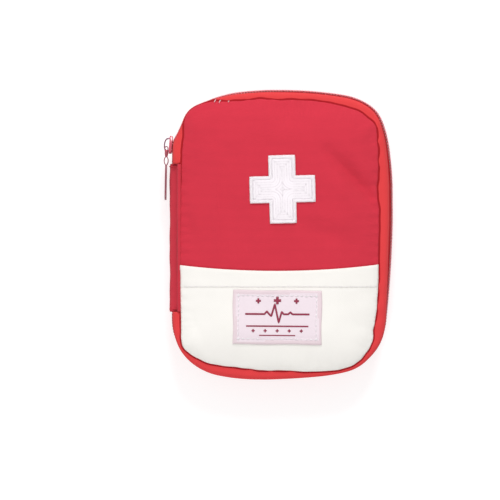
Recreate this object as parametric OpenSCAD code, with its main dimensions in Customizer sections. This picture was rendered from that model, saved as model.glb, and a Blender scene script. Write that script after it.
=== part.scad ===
/* [Pouch] */
// Width across the closed zip line, side to side
pouch_w = 111.8; // [104:0.2:124]
// Height across the closed zip line, bottom to top
pouch_h = 145.6; // [136:0.2:160]
// Radius of the four corners of the zip line
corner_r = 28; // [24:0.5:32]
// Radius of the slightly bowed top and bottom edges
bow_r = 200; // [160:5:300]
// Height of the zip line above the table
zip_z = 13; // [13:0.1:15]
// Height from the zip line to the front seam, and down to the back seam
seam_rise = 9; // [8.8:0.1:9.6]
// Distance of the two seams inside the zip line
seam_inset = 5.5; // [5.2:0.1:6.5]
// Swell of the padded front above its seam
crown = 4.2; // [3:0.1:5]
// Thickness of the outer cloth
cloth_t = 0.8; // [0.5:0.1:1]
// Thickness of the lining cloth
lining_t = 0.5; // [0.3:0.1:0.7]

/* [Zip] */
// Thickness of the woven zip tape
tape_t = 0.7; // [0.4:0.05:0.8]
// Half the slot between the edges of the two tapes
tape_slot = 0.95; // [0.9:0.05:1.2]
// Distance between neighbouring coil teeth of one row
coil_pitch = 1.5; // [1.4:0.05:2]
// Diameter of the coil's filament
coil_d = 0.6; // [0.4:0.05:0.62]
// Half the width of the closed coil chain
coil_half = 2.5; // [2:0.1:2.6]
// How far each row's teeth reach past the middle of the chain
coil_bite = 0.5; // [0.3:0.05:0.6]

/* [Slider and puller] */
// Length of the slider along the zip
slider_l = 9; // [8:0.1:9.4]
// Width of the slider's outer plate at its nose
slider_w = 7.6; // [7.4:0.1:7.8]
// Thickness of the slider's plates
plate_t = 0.9; // [0.6:0.1:1]
// Clearance between the slider and what runs through it
slider_gap = 0.3; // [0.2:0.05:0.35]
// Angle from the corner's start to the slider's place when closed
slider_park = 5; // [4:0.5:8]
// Height of the bail's bridge above the slider
bail_h = 4.2; // [4:0.1:4.8]
// Length of the bail along the slider
bail_l = 7.2; // [6.8:0.1:7.6]
// Thickness of the bail's strip
bail_t = 1; // [0.7:0.05:1.05]
// Width of the bail's strip
bail_w = 1.6; // [1.2:0.1:1.8]
// Length of the puller from its eye to its tip
puller_l = 26.4; // [20:0.2:32]
// Thickness of the puller
puller_t = 1; // [0.7:0.1:1.1]
// Width of the puller at its round tip
puller_w = 6.6; // [6:0.1:8]
// Diameter of the hole in the puller's tip
puller_hole = 2.8; // [1.5:0.1:3.4]

/* [Spine] */
// Upper end of the cloth spine on the left side
spine_top = 35.1; // [30:0.1:36]
// Lower end of the cloth spine
spine_bottom = -38.8; // [-40:0.1:-30]
// How far the spine stands outside the zip line
spine_out = 1; // [0.6:0.1:1.2]
// Radius of the round seam that the lid turns on
hinge_r = 0.9; // [0.6:0.05:0.95]
// Distance of the hinge seam outside the panel seam
hinge_out = 1.3; // [1.3:0.05:1.5]

/* [Front] */
// Width of the cross, tip to tip
cross_w = 32.8; // [26:0.2:36]
// Height of the cross
cross_h = 34; // [26:0.2:38]
// Width of the cross's arms
cross_arm = 13.4; // [9:0.1:16]
// Height of the cross's centre above the pouch's middle
cross_y = 22.8; // [20:0.2:26]
// Width of the stitched border around the cross
cross_border_w = 1.8; // [1:0.1:2.5]
// Height of the pocket's mouth at its lowest point, below the middle when negative
mouth_y = -18.9; // [-22:0.1:-14]
// How much the mouth rises from its middle to its ends
mouth_sag = 3.2; // [1:0.1:5]
// Height of the folded hem along the mouth
hem_h = 8.5; // [5:0.1:10]
// Width of the label patch
label_w = 44.7; // [36:0.1:52]
// Height of the label patch
label_h = 27.5; // [20:0.1:32]
// Centre of the label patch above the pouch's middle
label_y = -41.6; // [-44:0.1:-40]

/* [Contents] */
// Radius of a rolled bandage
bandage_r = 6.6; // [5:0.1:6.6]
// Length of a rolled bandage
bandage_l = 60; // [50:1:64]
// Thickness of the elastic loops
elastic_t = 0.7; // [0.5:0.1:0.8]
// Outer radius of the roll of plaster tape
roll_r = 17; // [14:0.5:18]
// Width of the plaster tape on its roll
roll_w = 12.5; // [9:0.5:13]
// Outer radius of the card core in the tape roll
core_r = 7; // [6.5:0.1:8]
// Side of a gauze packet
gauze_a = 42; // [36:1:44]
// Thickness of a gauze packet
gauze_t = 2.4; // [1.5:0.1:2.6]
// Thickness of a wipe sachet
wipe_t = 1.5; // [1:0.1:1.8]
// Length of a sticking plaster in its wrapper
plaster_l = 76; // [60:1:78]
// Width of a sticking plaster in its wrapper
plaster_w = 21; // [16:0.5:22]
// Space left around each plaster in the net pocket
plaster_gap = 2; // [1:0.25:3]
// Width of a wipe sachet
sachet_w = 34; // [28:0.5:36]
// Length of a wipe sachet
sachet_l = 48; // [40:0.5:54]
// Length of the tweezers
tweezers_l = 78; // [60:1:82]

/* [Hidden] */
$fn = 64;

crimson = [0.84, 0.22, 0.29];
tape_red = [0.90, 0.27, 0.28];
coil_red = [0.66, 0.22, 0.28];
cream = [0.97, 0.96, 0.94];
lining_grey = [0.86, 0.86, 0.87];

// The outline: arcs that meet smoothly, and straight sides
half_w = pouch_w / 2;
half_h = pouch_h / 2;
arc_x = half_w - corner_r;                        // centre of a corner's arc
arc_y = half_h - bow_r + sqrt(pow(bow_r - corner_r, 2) - arc_x * arc_x);
bow_y = half_h - bow_r;                           // centre of the top edge's arc
bow_a = asin(arc_x / (bow_r - corner_r));         // half the angle of a bowed edge
corner_n = 8;                                     // divisions of a corner
bow_n = 4;                                        // divisions of a bowed edge
side_n = 3;                                       // divisions of a straight side

// Heights of the seams and of the cloth layers
front_seam = zip_z + seam_rise;
back_seam = zip_z - seam_rise;
front_rim = front_seam + 0.4;                     // outer face of the front at its seam
lid_inner = front_seam - 1.4;                     // inner face of the lid's lining
base_floor = back_seam - 0.1;                     // inner face of the base's lining
back_rim = base_floor - lining_t;                 // where the back cloth meets the lining

// The zip chain, as distances inside the zip line
coil_out = 0.05;                                  // outer face of the coils
coil_in = coil_out + coil_d;                      // inner face of the coils
tape_out = coil_in + 0.07;                        // outer face of the tapes
tape_bend = 3.6;                                  // where the tapes leave the upright

// A station is a point on the zip line and the angle of its outward normal
function arc_at(c, r, a) = [c.x + r * cos(a), c.y + r * sin(a), a];
function arc(c, r, a0, a1, n) = [for (i = [0:n]) arc_at(c, r, a0 + (a1 - a0) * i / n)];
function inner_of(list) = [for (i = [1:len(list) - 2]) list[i]];
function side(x, y0, y1, a) = [for (i = [1:side_n - 1]) [x, y0 + (y1 - y0) * i / side_n, a]];
function reverse(list) = [for (i = [len(list) - 1:-1:0]) list[i]];

corner_bl = arc([-arc_x, -arc_y], corner_r, 180, 270 - bow_a, corner_n);
bow_bottom = inner_of(arc([0, -bow_y], bow_r, 270 - bow_a, 270 + bow_a, bow_n));
corner_br = arc([arc_x, -arc_y], corner_r, 270 + bow_a, 360, corner_n);
side_r = side(half_w, -arc_y, arc_y, 0);
corner_tr = arc([arc_x, arc_y], corner_r, 0, 90 - bow_a, corner_n);
bow_top = inner_of(arc([0, bow_y], bow_r, 90 - bow_a, 90 + bow_a, bow_n));
corner_tl = arc([-arc_x, arc_y], corner_r, 90 + bow_a, 180, corner_n);
side_l = side(-half_w, arc_y, -arc_y, 180);
around = concat(corner_bl, bow_bottom, corner_br, side_r, corner_tr, bow_top, corner_tl);
ring = concat(around, side_l);

function at_inset(s, d) = [s.x - d * cos(s.z), s.y - d * sin(s.z)];
function ring_at(scale, z) = [
    for (s = ring) let (p = at_inset(s, seam_inset) * scale) [p.x, p.y, z]
];

// A closed body between two stacks of rings that meet at the rim. Each stack is
// a list of [scale, height] from the rim inwards, and ends at the middle, scale 0.
module dish(top, bottom) {
    n = len(ring);
    upper = reverse([for (t = top) if (t.x > 0) t]);
    lower = [for (b = bottom) if (b.x > 0) b];
    rows = concat(upper, lower);
    points = concat(
        [for (r = rows) each ring_at(r.x, r.y)],
        [[0, 0, top[len(top) - 1].y], [0, 0, bottom[len(bottom) - 1].y]]
    );
    high = len(points) - 2;
    low = len(points) - 1;
    last = (len(rows) - 1) * n;
    polyhedron(points, concat(
        [for (j = [0:n - 1]) [high, (j + 1) % n, j]],
        [for (k = [0:len(rows) - 2], j = [0:n - 1]) let (i = (j + 1) % n)
            each [
                [k * n + j, k * n + i, (k + 1) * n + i],
                [k * n + j, (k + 1) * n + i, (k + 1) * n + j]
            ]],
        [for (j = [0:n - 1]) [low, last + j, last + (j + 1) % n]]
    ));
}

// A closed section of [inset, height] points carried along stations
module sweep(section, stations, closed = false) {
    n = len(section);
    m = len(stations);
    points = [
        for (s = stations, q = section) let (p = at_inset(s, q.x)) [p.x, p.y, q.y]
    ];
    polyhedron(points, concat(
        closed ? [] : [[for (k = [n - 1:-1:0]) k]],
        [for (i = [0:m - (closed ? 1 : 2)], k = [0:n - 1])
            let (a = i * n, b = ((i + 1) % m) * n, l = (k + 1) % n)
            each [[a + k, a + l, b + l], [a + k, b + l, b + k]]],
        closed ? [] : [[for (k = [0:n - 1]) (m - 1) * n + k]]
    ), convexity = 8);
}

// A strip of cloth with the given outer face, drawn from the seam to its free end
function unit(v) = v / norm(v);
function inward(a, b) = let (d = unit(b - a)) [d.y, -d.x];
function strip(face, t) = let (
    last = len(face) - 1,
    back = [for (i = [0:last])
        let (
            before = inward(face[max(i - 1, 0)], face[max(i, 1)]),
            after = inward(face[min(i, last - 1)], face[min(i + 1, last)]),
            m = unit(before + after)
        )
        i == 0
            ? face[0] + [0, t * norm(face[1] - face[0]) / abs(face[1].x - face[0].x)]
            : face[i] + m * t / (m * before)]
) concat(face, reverse(back));
function turned(section) = reverse([for (q = section) [q.x, 2 * zip_z - q.y]]);

// ---- Padded front and back -------------------------------------------------
ring_steps = [1, 0.975, 0.93, 0.86, 0.7, 0.4, 0];
function swell(s) = 1 - pow(s, 8);
function front_z(s) = front_rim + crown * swell(s);
pinch_rim = 0.1;                                  // share of a layer's lift left at the seam
pinch_near = 0.5;                                 // and a little inside it
function pinch(s) = lookup(s, [[0.93, 1], [0.975, pinch_near], [1, pinch_rim]]);
function front_face(lift) = [
    for (s = ring_steps) [s, front_z(s) + (lift > 0 ? lift * pinch(s) : lift)]
];

module front_layer(from, to) {
    dish(front_face(to), front_face(from));
}

module front_panel() {
    color(crimson) front_layer(-cloth_t, 0);
}

module front_foam() {
    foam_steps = [for (s = ring_steps) if (s < 1) s];
    color("gainsboro") dish(
        [for (s = foam_steps) [s, front_z(s) - cloth_t]],
        [for (s = foam_steps) [s, lid_inner + lining_t]]
    );
}

module lid_lining() {
    color(lining_grey) translate([0, 0, lid_inner])
        linear_extrude(lining_t) polygon([for (p = ring_at(1, 0)) [p.x, p.y]]);
}

back_steps = [[1, back_rim], [0.975, back_rim * 0.5], [0.95, back_rim * 0.2], [0.92, 0]];
back_flat = 0.92;                                 // the part of the back that lies flat

module back_outline(scale) {
    polygon([for (p = ring_at(scale, 0)) [p.x, p.y]]);
}

module back_panel() {
    color(crimson) union() {
        dish(
            [for (b = back_steps) [b.x, b.y + (b.x < 1 ? cloth_t : 0)], [0, cloth_t]],
            [[1, back_rim - cloth_t], for (i = [1:3]) back_steps[i], [0, 0]]
        );
        linear_extrude(cloth_t) back_outline(back_flat);
    }
}

module back_foam() {
    color("gainsboro") translate([0, 0, cloth_t])
        linear_extrude(back_rim - cloth_t) back_outline(back_flat);
}

module back_lining() {
    color(lining_grey) translate([0, 0, back_rim]) linear_extrude(lining_t) back_outline(1);
}

// ---- Zip tapes -------------------------------------------------------------
tape_face = [
    [seam_inset, back_rim - cloth_t],
    [2.4, back_seam + 1.6],
    [tape_out, zip_z - tape_bend],
    [tape_out, zip_z - tape_slot]
];
tape_section = strip(tape_face, tape_t);
tape_in = tape_out + tape_t;                      // inner face of the tapes
tape_ends = 0.3;                                  // gap between a tape and the spine

function tape_stations(gap) = concat(
    [[-half_w, spine_bottom - gap, 180]],
    around,
    [[-half_w, spine_top + gap, 180]]
);

module base_tape() {
    color(tape_red) sweep(tape_section, tape_stations(0));
}

// The lid's tape leaves room for the parked slider, so that the lid can open
park_clear = 0.5;
module lid_tape() {
    room = slider_l + 2 * park_clear + 0.6;
    color(tape_red) difference() {
        sweep(turned(tape_section), tape_stations(tape_ends));
        translate([-half_w - 1, slider_pos.y - room / 2, zip_z])
            cube([seam_inset + 1, room, seam_rise - hinge_bite]);
    }
}

// ---- Coil rows -------------------------------------------------------------
// Distance along the zip line is counted from the parked slider, over the top,
// down the right side, along the bottom and back to the spine.
turn = PI / 180;
park_a = 180 - slider_park;
corner_len = corner_r * (90 - bow_a) * turn;
bow_len = bow_r * 2 * bow_a * turn;
first_len = corner_r * (park_a - 90 - bow_a) * turn;
side_len = 2 * arc_y;
legs = [
    [first_len, -arc_x, arc_y, corner_r, park_a],
    [bow_len, 0, bow_y, bow_r, 90 + bow_a],
    [corner_len, arc_x, arc_y, corner_r, 90 - bow_a],
    [side_len, half_w, arc_y, 0, 0],
    [corner_len, arc_x, -arc_y, corner_r, 0],
    [bow_len, 0, -bow_y, bow_r, -90 + bow_a],
    [corner_len, -arc_x, -arc_y, corner_r, -90 - bow_a],
    [spine_bottom + arc_y, -half_w, -arc_y, 0, -180]
];
function leg_at(g, p) = g[3] > 0
    ? arc_at([g[1], g[2]], g[3], g[4] - p / g[3] / turn)
    : [g[1], g[2] + (g[4] == 0 ? -p : p), g[4]];
function on_zip(p, i = 0) = p <= legs[i][0] || i == len(legs) - 1
    ? leg_at(legs[i], p)
    : on_zip(p - legs[i][0], i + 1);
zip_len = first_len + 2 * bow_len + 3 * corner_len + side_len + spine_bottom + arc_y;

parting_len = 43;                                 // stretch that the slider passes and parts
base_from = -0.6;                                 // first tooth, past the slider's wedge
lid_from = slider_l / 2 + 1.1;                    // first tooth of the lid, past the slider

function teeth(from, to, phase) = [
    for (k = [ceil((from - phase) / coil_pitch):floor((to - phase) / coil_pitch)])
        k * coil_pitch + phase
];

// One row of coil: the looped back of the filament, and a tooth for each turn
module coil_row(spots) {
    tip = zip_z - coil_bite;
    root = zip_z + tape_slot - 0.1;
    outer = [for (p = spots, q = [[-0.5, 0.25], [-0.28, 0], [0.28, 0], [0.5, 0.25]])
        at_inset(on_zip(p + q.x * coil_pitch), coil_out + q.y)];
    inner = [for (p = reverse(spots), e = [0.5, -0.5])
        at_inset(on_zip(p + e * coil_pitch), coil_in)];
    translate([0, 0, root]) linear_extrude(zip_z + coil_half - root)
        polygon(concat(outer, inner));
    for (p = spots) {
        c = at_inset(on_zip(p), coil_out + coil_d / 2);
        translate([c.x, c.y, tip]) cylinder(d = coil_d, h = root - tip + 0.1, $fn = 16);
    }
}

// The end of a row between the spine and the parked slider
module coil_tail(phase) {
    tail_top = slider_pos.y - slider_l / 2 - park_clear - coil_pitch;
    tip = zip_z - coil_bite;
    for (y = [spine_top + coil_pitch + phase:coil_pitch:tail_top])
        translate([-half_w + coil_out + coil_d / 2, y, tip])
            cylinder(d = coil_d, h = coil_half + coil_bite, $fn = 16);
}

module turned_over() {
    translate([0, 0, 2 * zip_z]) mirror([0, 0, 1]) children();
}

module base_coil() {
    color(coil_red) turned_over() {
        coil_row(teeth(parting_len, zip_len - 0.6, 0));
        coil_tail(0);
    }
}

module base_coil_parting() {
    color(coil_red) turned_over()
        coil_row(teeth(base_from, parting_len - 0.01, 0));
}

module lid_coil() {
    color(coil_red) {
        coil_row(teeth(parting_len, zip_len - 0.6, coil_pitch / 2));
        coil_tail(coil_pitch / 2);
    }
}

module lid_coil_parting() {
    color(coil_red) coil_row(teeth(lid_from, parting_len - 0.01, coil_pitch / 2));
}

// ---- Spine and hinge seam --------------------------------------------------
hinge_x = -half_w + seam_inset - hinge_out;
hinge_bite = 4.1;                                 // reach of the narrow tape at the slider
spine_len = spine_top - spine_bottom;
spine_face = [
    [seam_inset, back_rim - cloth_t],
    [2, back_seam + 1.2],
    [-spine_out, zip_z - 3.6],
    [-spine_out, zip_z + 3.2],
    [seam_inset - hinge_out, front_seam]
];

module along_spine(section) {
    translate([-half_w, spine_top, 0]) rotate([90, 0, 0])
        linear_extrude(spine_len) polygon([for (q = section) [q.x, q.y]]);
}

module hinge_rod(r, extra = 0) {
    translate([hinge_x, spine_top + extra, front_seam]) rotate([90, 0, 0])
        cylinder(r = r, h = spine_len + 2 * extra);
}

module spine_panel() {
    color(crimson * 0.94) difference() {
        along_spine(strip(spine_face, cloth_t));
        hinge_rod(hinge_r, 1);
    }
}

// The lining lies inside the spine cloth and stops below the hinge seam
module spine_lining() {
    inner = reverse([for (i = [5:9]) strip(spine_face, cloth_t)[i]]);
    face = [inner[0], inner[1], inner[2], inner[3], inner[3] * 0.35 + inner[4] * 0.65];
    color(lining_grey) along_spine(strip(face, lining_t));
}

module hinge_seam() {
    color(crimson * 0.85) hinge_rod(hinge_r);
}

// ---- Bindings inside the seams ---------------------------------------------
binding_w = 1.8;
binding_t = 1.1;
binding_section = [
    [seam_inset + 0.15, base_floor],
    [seam_inset + 0.15, base_floor + binding_t * 0.7],
    [seam_inset + 0.15 + binding_w * 0.4, base_floor + binding_t],
    [seam_inset + 0.15 + binding_w, base_floor + binding_t * 0.6],
    [seam_inset + 0.15 + binding_w, base_floor]
];

module base_binding() {
    color(crimson * 0.9) sweep(binding_section, ring, true);
}

module lid_binding() {
    lid_section = [for (q = binding_section) [q.x, lid_inner - (q.y - base_floor)]];
    color(crimson * 0.9) sweep(reverse(lid_section), ring, true);
}

// ---- What is sewn on the front ---------------------------------------------
patch_t = 0.9;
hem_t = 0.35;
pocket_t = 0.7;
border_t = 1.3;
tall = 12;

// The cloth below the pocket's mouth, whose edge sags in the middle
module below_mouth(drop) {
    mouth_r = (half_w * half_w + mouth_sag * mouth_sag) / (2 * mouth_sag);
    difference() {
        translate([-half_w, -half_h, front_seam - 2]) cube([pouch_w, half_h, tall]);
        translate([0, mouth_y - drop + mouth_r, front_seam - 3])
            cylinder(r = mouth_r, h = tall + 2, $fn = 256);
    }
}

module front_pocket() {
    color(cream) intersection() {
        front_layer(0, pocket_t);
        below_mouth(0);
    }
}

module pocket_hem() {
    color(cream) difference() {
        intersection() {
            front_layer(pocket_t, pocket_t + hem_t);
            below_mouth(0);
        }
        below_mouth(hem_h);
    }
}

module plus_prism(w, h, arm) {
    translate([0, cross_y, front_seam - 2]) rotate([0, 0, -1.5]) union() {
        translate([-w / 2, -arm / 2, 0]) cube([w, arm, tall]);
        translate([-arm / 2, -h / 2, 0]) cube([arm, h, tall]);
    }
}

module inner_plus() {
    b = 2 * cross_border_w;
    plus_prism(cross_w - b, cross_h - b, cross_arm - b);
}

module cross_fill() {
    color("white") intersection() {
        front_layer(0, patch_t);
        inner_plus();
    }
}

module cross_border() {
    color("snow") difference() {
        intersection() {
            front_layer(0, border_t);
            plus_prism(cross_w, cross_h, cross_arm);
        }
        inner_plus();
    }
}

module label_patch() {
    color([0.91, 0.85, 0.86]) intersection() {
        front_layer(pocket_t, pocket_t + 0.5);
        translate([-2.6 - label_w / 2, label_y - label_h / 2, front_seam - 2])
            cube([label_w, label_h, tall]);
    }
}

// ---- Inside the lid --------------------------------------------------------
net_rim = 1.6;                                    // side walls that meet the lining
net_t = 0.5;
net_z = lid_inner - 2.1;
net_margin = 9.3;                                 // from the bottom seam to the net
mesh_half = 1.5 * plaster_w + 2 * plaster_gap + net_rim;
mesh_bottom = seam_inset + net_margin - half_h;
mesh_top = mesh_bottom + net_rim + plaster_l + plaster_gap;
edging_h = 7;

module mesh_pocket() {
    color("whitesmoke") difference() {
        translate([-mesh_half, mesh_bottom, net_z])
            cube([2 * mesh_half, mesh_top - mesh_bottom, lid_inner - net_z]);
        translate([-mesh_half + net_rim, mesh_bottom + net_rim, net_z + net_t])
            cube([2 * (mesh_half - net_rim), mesh_top - mesh_bottom, lid_inner - net_z]);
    }
}

module mesh_edging() {
    color(crimson * 0.9) translate([-mesh_half, mesh_top - edging_h, net_z - 0.5])
        cube([2 * mesh_half, edging_h, 0.5]);
}

module plaster(i) {
    t = 0.45;
    left = net_rim - mesh_half + plaster_gap + i * (plaster_w + plaster_gap);
    color([0.93, 0.88, 0.80]) translate([left,
        mesh_bottom + net_rim + plaster_gap / 2, net_z + net_t + 0.15 * i])
        cube([plaster_w, plaster_l, t]);
}

module plaster_a() plaster(0);
module plaster_b() plaster(1);
module plaster_c() plaster(2);

// ---- Inside the base -------------------------------------------------------
floor_half = half_h - seam_inset;                 // half the height of the base's floor
bandage_left = 16;                                // axis of the first roll
bandage_gap = 3.8;                                // space between the two rolls
bandage_margin = 13.3;                            // from the bottom seam to the rolls
bandage_x = [bandage_left, bandage_left + 2 * bandage_r + bandage_gap];
bandage_y = bandage_margin - floor_half;          // lower end of the rolls
loop_w = 16;
loop_y = bandage_y + 22;
fit = 0.05;

module bandage_roll(i) {
    color("ivory") translate([bandage_x[i], bandage_y + bandage_l, base_floor + bandage_r])
        rotate([90, 0, 0]) difference() {
            cylinder(r = bandage_r, h = bandage_l);
            translate([0, 0, -1]) cylinder(r = 1, h = bandage_l + 2);
        }
}

module bandage_roll_a() bandage_roll(0);
module bandage_roll_b() bandage_roll(1);

// One elastic band, sewn down on both sides of each roll
module elastic_loops() {
    r = bandage_r + fit;
    color("dimgray") translate([0, loop_y + loop_w, base_floor]) rotate([90, 0, 0])
        difference() {
            union() {
                for (x = bandage_x) {
                    translate([x, bandage_r, 0]) cylinder(r = r + elastic_t, h = loop_w);
                    translate([x - r - elastic_t, 0, 0])
                        cube([2 * (r + elastic_t), bandage_r, loop_w]);
                }
                translate([bandage_x[0] - r - 2.6, 0, 0])
                    cube([bandage_x[1] - bandage_x[0] + 2 * r + 5.2, elastic_t, loop_w]);
            }
            for (x = bandage_x) {
                translate([x, bandage_r, -1]) cylinder(r = r, h = loop_w + 2);
                translate([x - r, -1, -1]) cube([2 * r, bandage_r + 1, loop_w + 2]);
            }
        }
}

roll_margin = 14.3;                               // from the top seam to the tape roll
roll_at = [24, floor_half - roll_r - roll_margin, base_floor];

module tape_roll() {
    color("linen") translate(roll_at) difference() {
        cylinder(r = roll_r, h = roll_w);
        translate([0, 0, -1]) cylinder(r = core_r, h = roll_w + 2);
    }
}

module tape_core() {
    color("tan") translate(roll_at) difference() {
        cylinder(r = core_r, h = roll_w);
        translate([0, 0, -1]) cylinder(r = core_r - 1, h = roll_w + 2);
    }
}

// A sealed packet: a flat rim with a thicker middle
module packet(w, l, t) {
    seal = 4;
    union() {
        translate([-w / 2, -l / 2, 0]) cube([w, l, 0.5]);
        translate([-w / 2 + seal, -l / 2 + seal, 0]) cube([w - 2 * seal, l - 2 * seal, t]);
    }
}

packets_right = -1;                               // right edge of the gauze packets
gauze_margin = 14.3;                              // from the bottom seam to the gauze
sachet_margin = 17.3;                             // from the top seam to the sachets
gauze_at = [packets_right - gauze_a / 2, gauze_a / 2 + gauze_margin - floor_half];
sachet_at = [packets_right - sachet_w / 2 - 7, floor_half - sachet_l / 2 - sachet_margin];

module gauze_packet(i) {
    color("white") translate([gauze_at.x, gauze_at.y, base_floor + i * gauze_t])
        packet(gauze_a, gauze_a, gauze_t);
}

module gauze_packet_a() gauze_packet(0);
module gauze_packet_b() gauze_packet(1);

module wipe_sachet(i) {
    color("lightsteelblue") translate([sachet_at.x, sachet_at.y, base_floor + i * wipe_t])
        packet(sachet_w, sachet_l, wipe_t);
}

module wipe_sachet_a() wipe_sachet(0);
module wipe_sachet_b() wipe_sachet(1);

// Two spring arms that meet at the closed end
module tweezers() {
    arm_w = 4;
    arm_t = 0.8;
    spread = 3.4;
    margin = 38.3;                                // from the bottom seam to the closed end
    color("silver") translate([1.6, margin - floor_half, base_floor]) {
        translate([-spread / 2 - arm_t, 0, 0]) cube([spread + 2 * arm_t, 10, arm_w]);
        for (s = [-1, 1]) linear_extrude(arm_w) polygon([
            [s * (spread / 2 + arm_t), 9],
            [s * spread / 2, 9],
            [s * (spread / 2), tweezers_l * 0.6],
            [s * 0.5, tweezers_l],
            [s * (0.5 + arm_t), tweezers_l],
            [s * (spread / 2 + arm_t), tweezers_l * 0.6]
        ]);
    }
}

// ---- Slider, bail and puller -----------------------------------------------
// They are drawn with X away from the corner's centre, Y towards the spine and
// Z upwards from the zip line, and are then turned to where the slider is parked.
slider_pos = [-arc_x + corner_r * cos(park_a), arc_y + corner_r * sin(park_a)];
channel_out = corner_r - coil_out + slider_gap;
channel_in = sqrt(pow(corner_r - tape_in, 2) - pow(slider_l / 2, 2)) - slider_gap;
slider_top = channel_out + plate_t;
tail_half = coil_half + slider_gap + 0.5;
nose_half = slider_w / 2;
wedge_half = tape_slot - slider_gap;

module at_slider() {
    translate([-arc_x, arc_y, zip_z]) rotate([0, 0, park_a]) children();
}

// A plate seen along X, wide at the nose and narrow at the tail
module slider_plate(x, t, tail, nose) {
    e = slider_l / 2;
    c = 0.6;
    half = [[-e, tail - c], [c - e, tail], [0.6, nose], [e - 2 * c, nose], [e, nose - 2 * c]];
    translate([x, 0, 0]) rotate([90, 0, 90]) linear_extrude(t)
        polygon(concat(half, reverse([for (p = half) [p.x, -p.y]])));
}

module slider_body() {
    e = slider_l / 2;
    rim = coil_half + slider_gap;                 // inside of the side flanges
    color([0.86, 0.32, 0.40]) at_slider() union() {
        difference() {
            slider_plate(channel_out - 0.55, plate_t + 0.55, tail_half, nose_half);
            translate([channel_out - 1, -e - 1, -rim])
                cube([1, slider_l + 2, 2 * rim]);
        }
        slider_plate(channel_in - plate_t, plate_t, tail_half - 0.1, tail_half - 0.1);
        translate([channel_in - 0.1, 0, 0]) rotate([90, 0, 90])
            linear_extrude(channel_out - channel_in + 0.2) polygon([
                [1.6, 0], [2.4, wedge_half], [e - 0.6, wedge_half],
                [e - 0.6, -wedge_half], [2.4, -wedge_half]
            ]);
    }
}

bail_round = 1;                                   // inside radius of the bail's corners
bail_leg = bail_l / 2 - bail_t;                   // inside of a leg
bail_bridge = slider_top + bail_h - bail_t;       // inside of the bridge

module bail_corner() {
    translate([bail_bridge - bail_round, bail_leg - bail_round, 0])
        rotate_extrude(angle = 90) translate([bail_round, -bail_w / 2])
            square([bail_t, bail_w]);
}

module slider_bail() {
    foot = bail_bridge - bail_round - slider_top;
    color([0.80, 0.72, 0.75]) at_slider() union() {
        for (s = [0, 1]) mirror([0, s, 0]) {
            bail_corner();
            translate([slider_top, bail_leg, -bail_w / 2]) cube([foot, bail_t, bail_w]);
        }
        translate([bail_bridge, bail_round - bail_leg, -bail_w / 2])
            cube([bail_t, 2 * (bail_leg - bail_round), bail_w]);
    }
}

eye_r = 0.6;                                      // round bar of the puller's eye
eye_gap = 0.35;                                   // play between the eye and the bail
pivot = [slider_top + eye_r + 0.7, bail_leg - eye_r - eye_gap];
window_half = bail_w / 2 + 0.5;
window_end = bail_bridge + bail_t - pivot.x + eye_gap;
eye_half = window_half + 1.3;
puller_rest = 4;                                  // lean of the puller towards the spine

module puller() {
    tip_r = puller_w / 2;
    shoulder = window_end + 1.4;
    half = [[0, eye_half], [shoulder, eye_half], [puller_l - tip_r, tip_r]];
    color([0.62, 0.36, 0.38]) at_slider() translate([pivot.x, pivot.y, 0])
        rotate([0, 0, puller_rest]) union() {
            translate([0, 0, -eye_half]) cylinder(r = eye_r, h = 2 * eye_half);
            difference() {
                translate([-puller_t / 2, 0, 0]) rotate([90, 0, 90])
                    linear_extrude(puller_t)
                        polygon(concat(half, reverse([for (p = half) [p.x, -p.y]])));
                translate([-puller_t, -1, -window_half])
                    cube([2 * puller_t, window_end + 1, 2 * window_half]);
                translate([-puller_t, puller_l - tip_r, 0]) rotate([0, 90, 0])
                    cylinder(d = puller_hole, h = 2 * puller_t);
            }
            difference() {
                translate([-puller_t / 2, puller_l - tip_r, 0]) rotate([0, 90, 0])
                    cylinder(r = tip_r, h = puller_t);
                translate([-puller_t, puller_l - tip_r, 0]) rotate([0, 90, 0])
                    cylinder(d = puller_hole, h = 2 * puller_t);
            }
        }
}

back_panel();
back_foam();
back_lining();
base_tape();
base_coil();
base_coil_parting();
spine_panel();
spine_lining();
hinge_seam();
base_binding();
elastic_loops();
bandage_roll_a();
bandage_roll_b();
tape_roll();
tape_core();
gauze_packet_a();
gauze_packet_b();
wipe_sachet_a();
wipe_sachet_b();
tweezers();
front_panel();
front_foam();
lid_lining();
front_pocket();
pocket_hem();
cross_fill();
cross_border();
label_patch();
lid_tape();
lid_coil();
lid_coil_parting();
lid_binding();
mesh_pocket();
mesh_edging();
plaster_a();
plaster_b();
plaster_c();
slider_body();
slider_bail();
puller();
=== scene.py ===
import math

import bmesh
import bpy
import numpy as np
from bpy.props import FloatProperty, FloatVectorProperty, IntProperty, PointerProperty
from mathutils import Matrix, Vector
from mathutils.bvhtree import BVHTree
from mathutils.geometry import delaunay_2d_cdt


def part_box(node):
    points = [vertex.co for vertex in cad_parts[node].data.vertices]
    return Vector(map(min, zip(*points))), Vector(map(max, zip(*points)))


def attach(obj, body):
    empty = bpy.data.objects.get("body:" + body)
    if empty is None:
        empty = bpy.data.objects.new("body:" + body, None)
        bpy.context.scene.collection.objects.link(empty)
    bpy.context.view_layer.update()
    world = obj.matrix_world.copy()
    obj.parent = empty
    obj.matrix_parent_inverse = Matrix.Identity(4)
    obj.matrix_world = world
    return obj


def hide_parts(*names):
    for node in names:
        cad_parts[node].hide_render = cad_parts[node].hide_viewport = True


bl_info = {
    "name": "First Aid Pouch",
    "version": (1, 0, 0),
    "blender": (4, 5, 0),
    "location": "View3D > Sidebar > First Aid Pouch",
    "description": "Dresses the padded first aid pouch, its zip and what it holds",
    "category": "Object",
}

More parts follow.
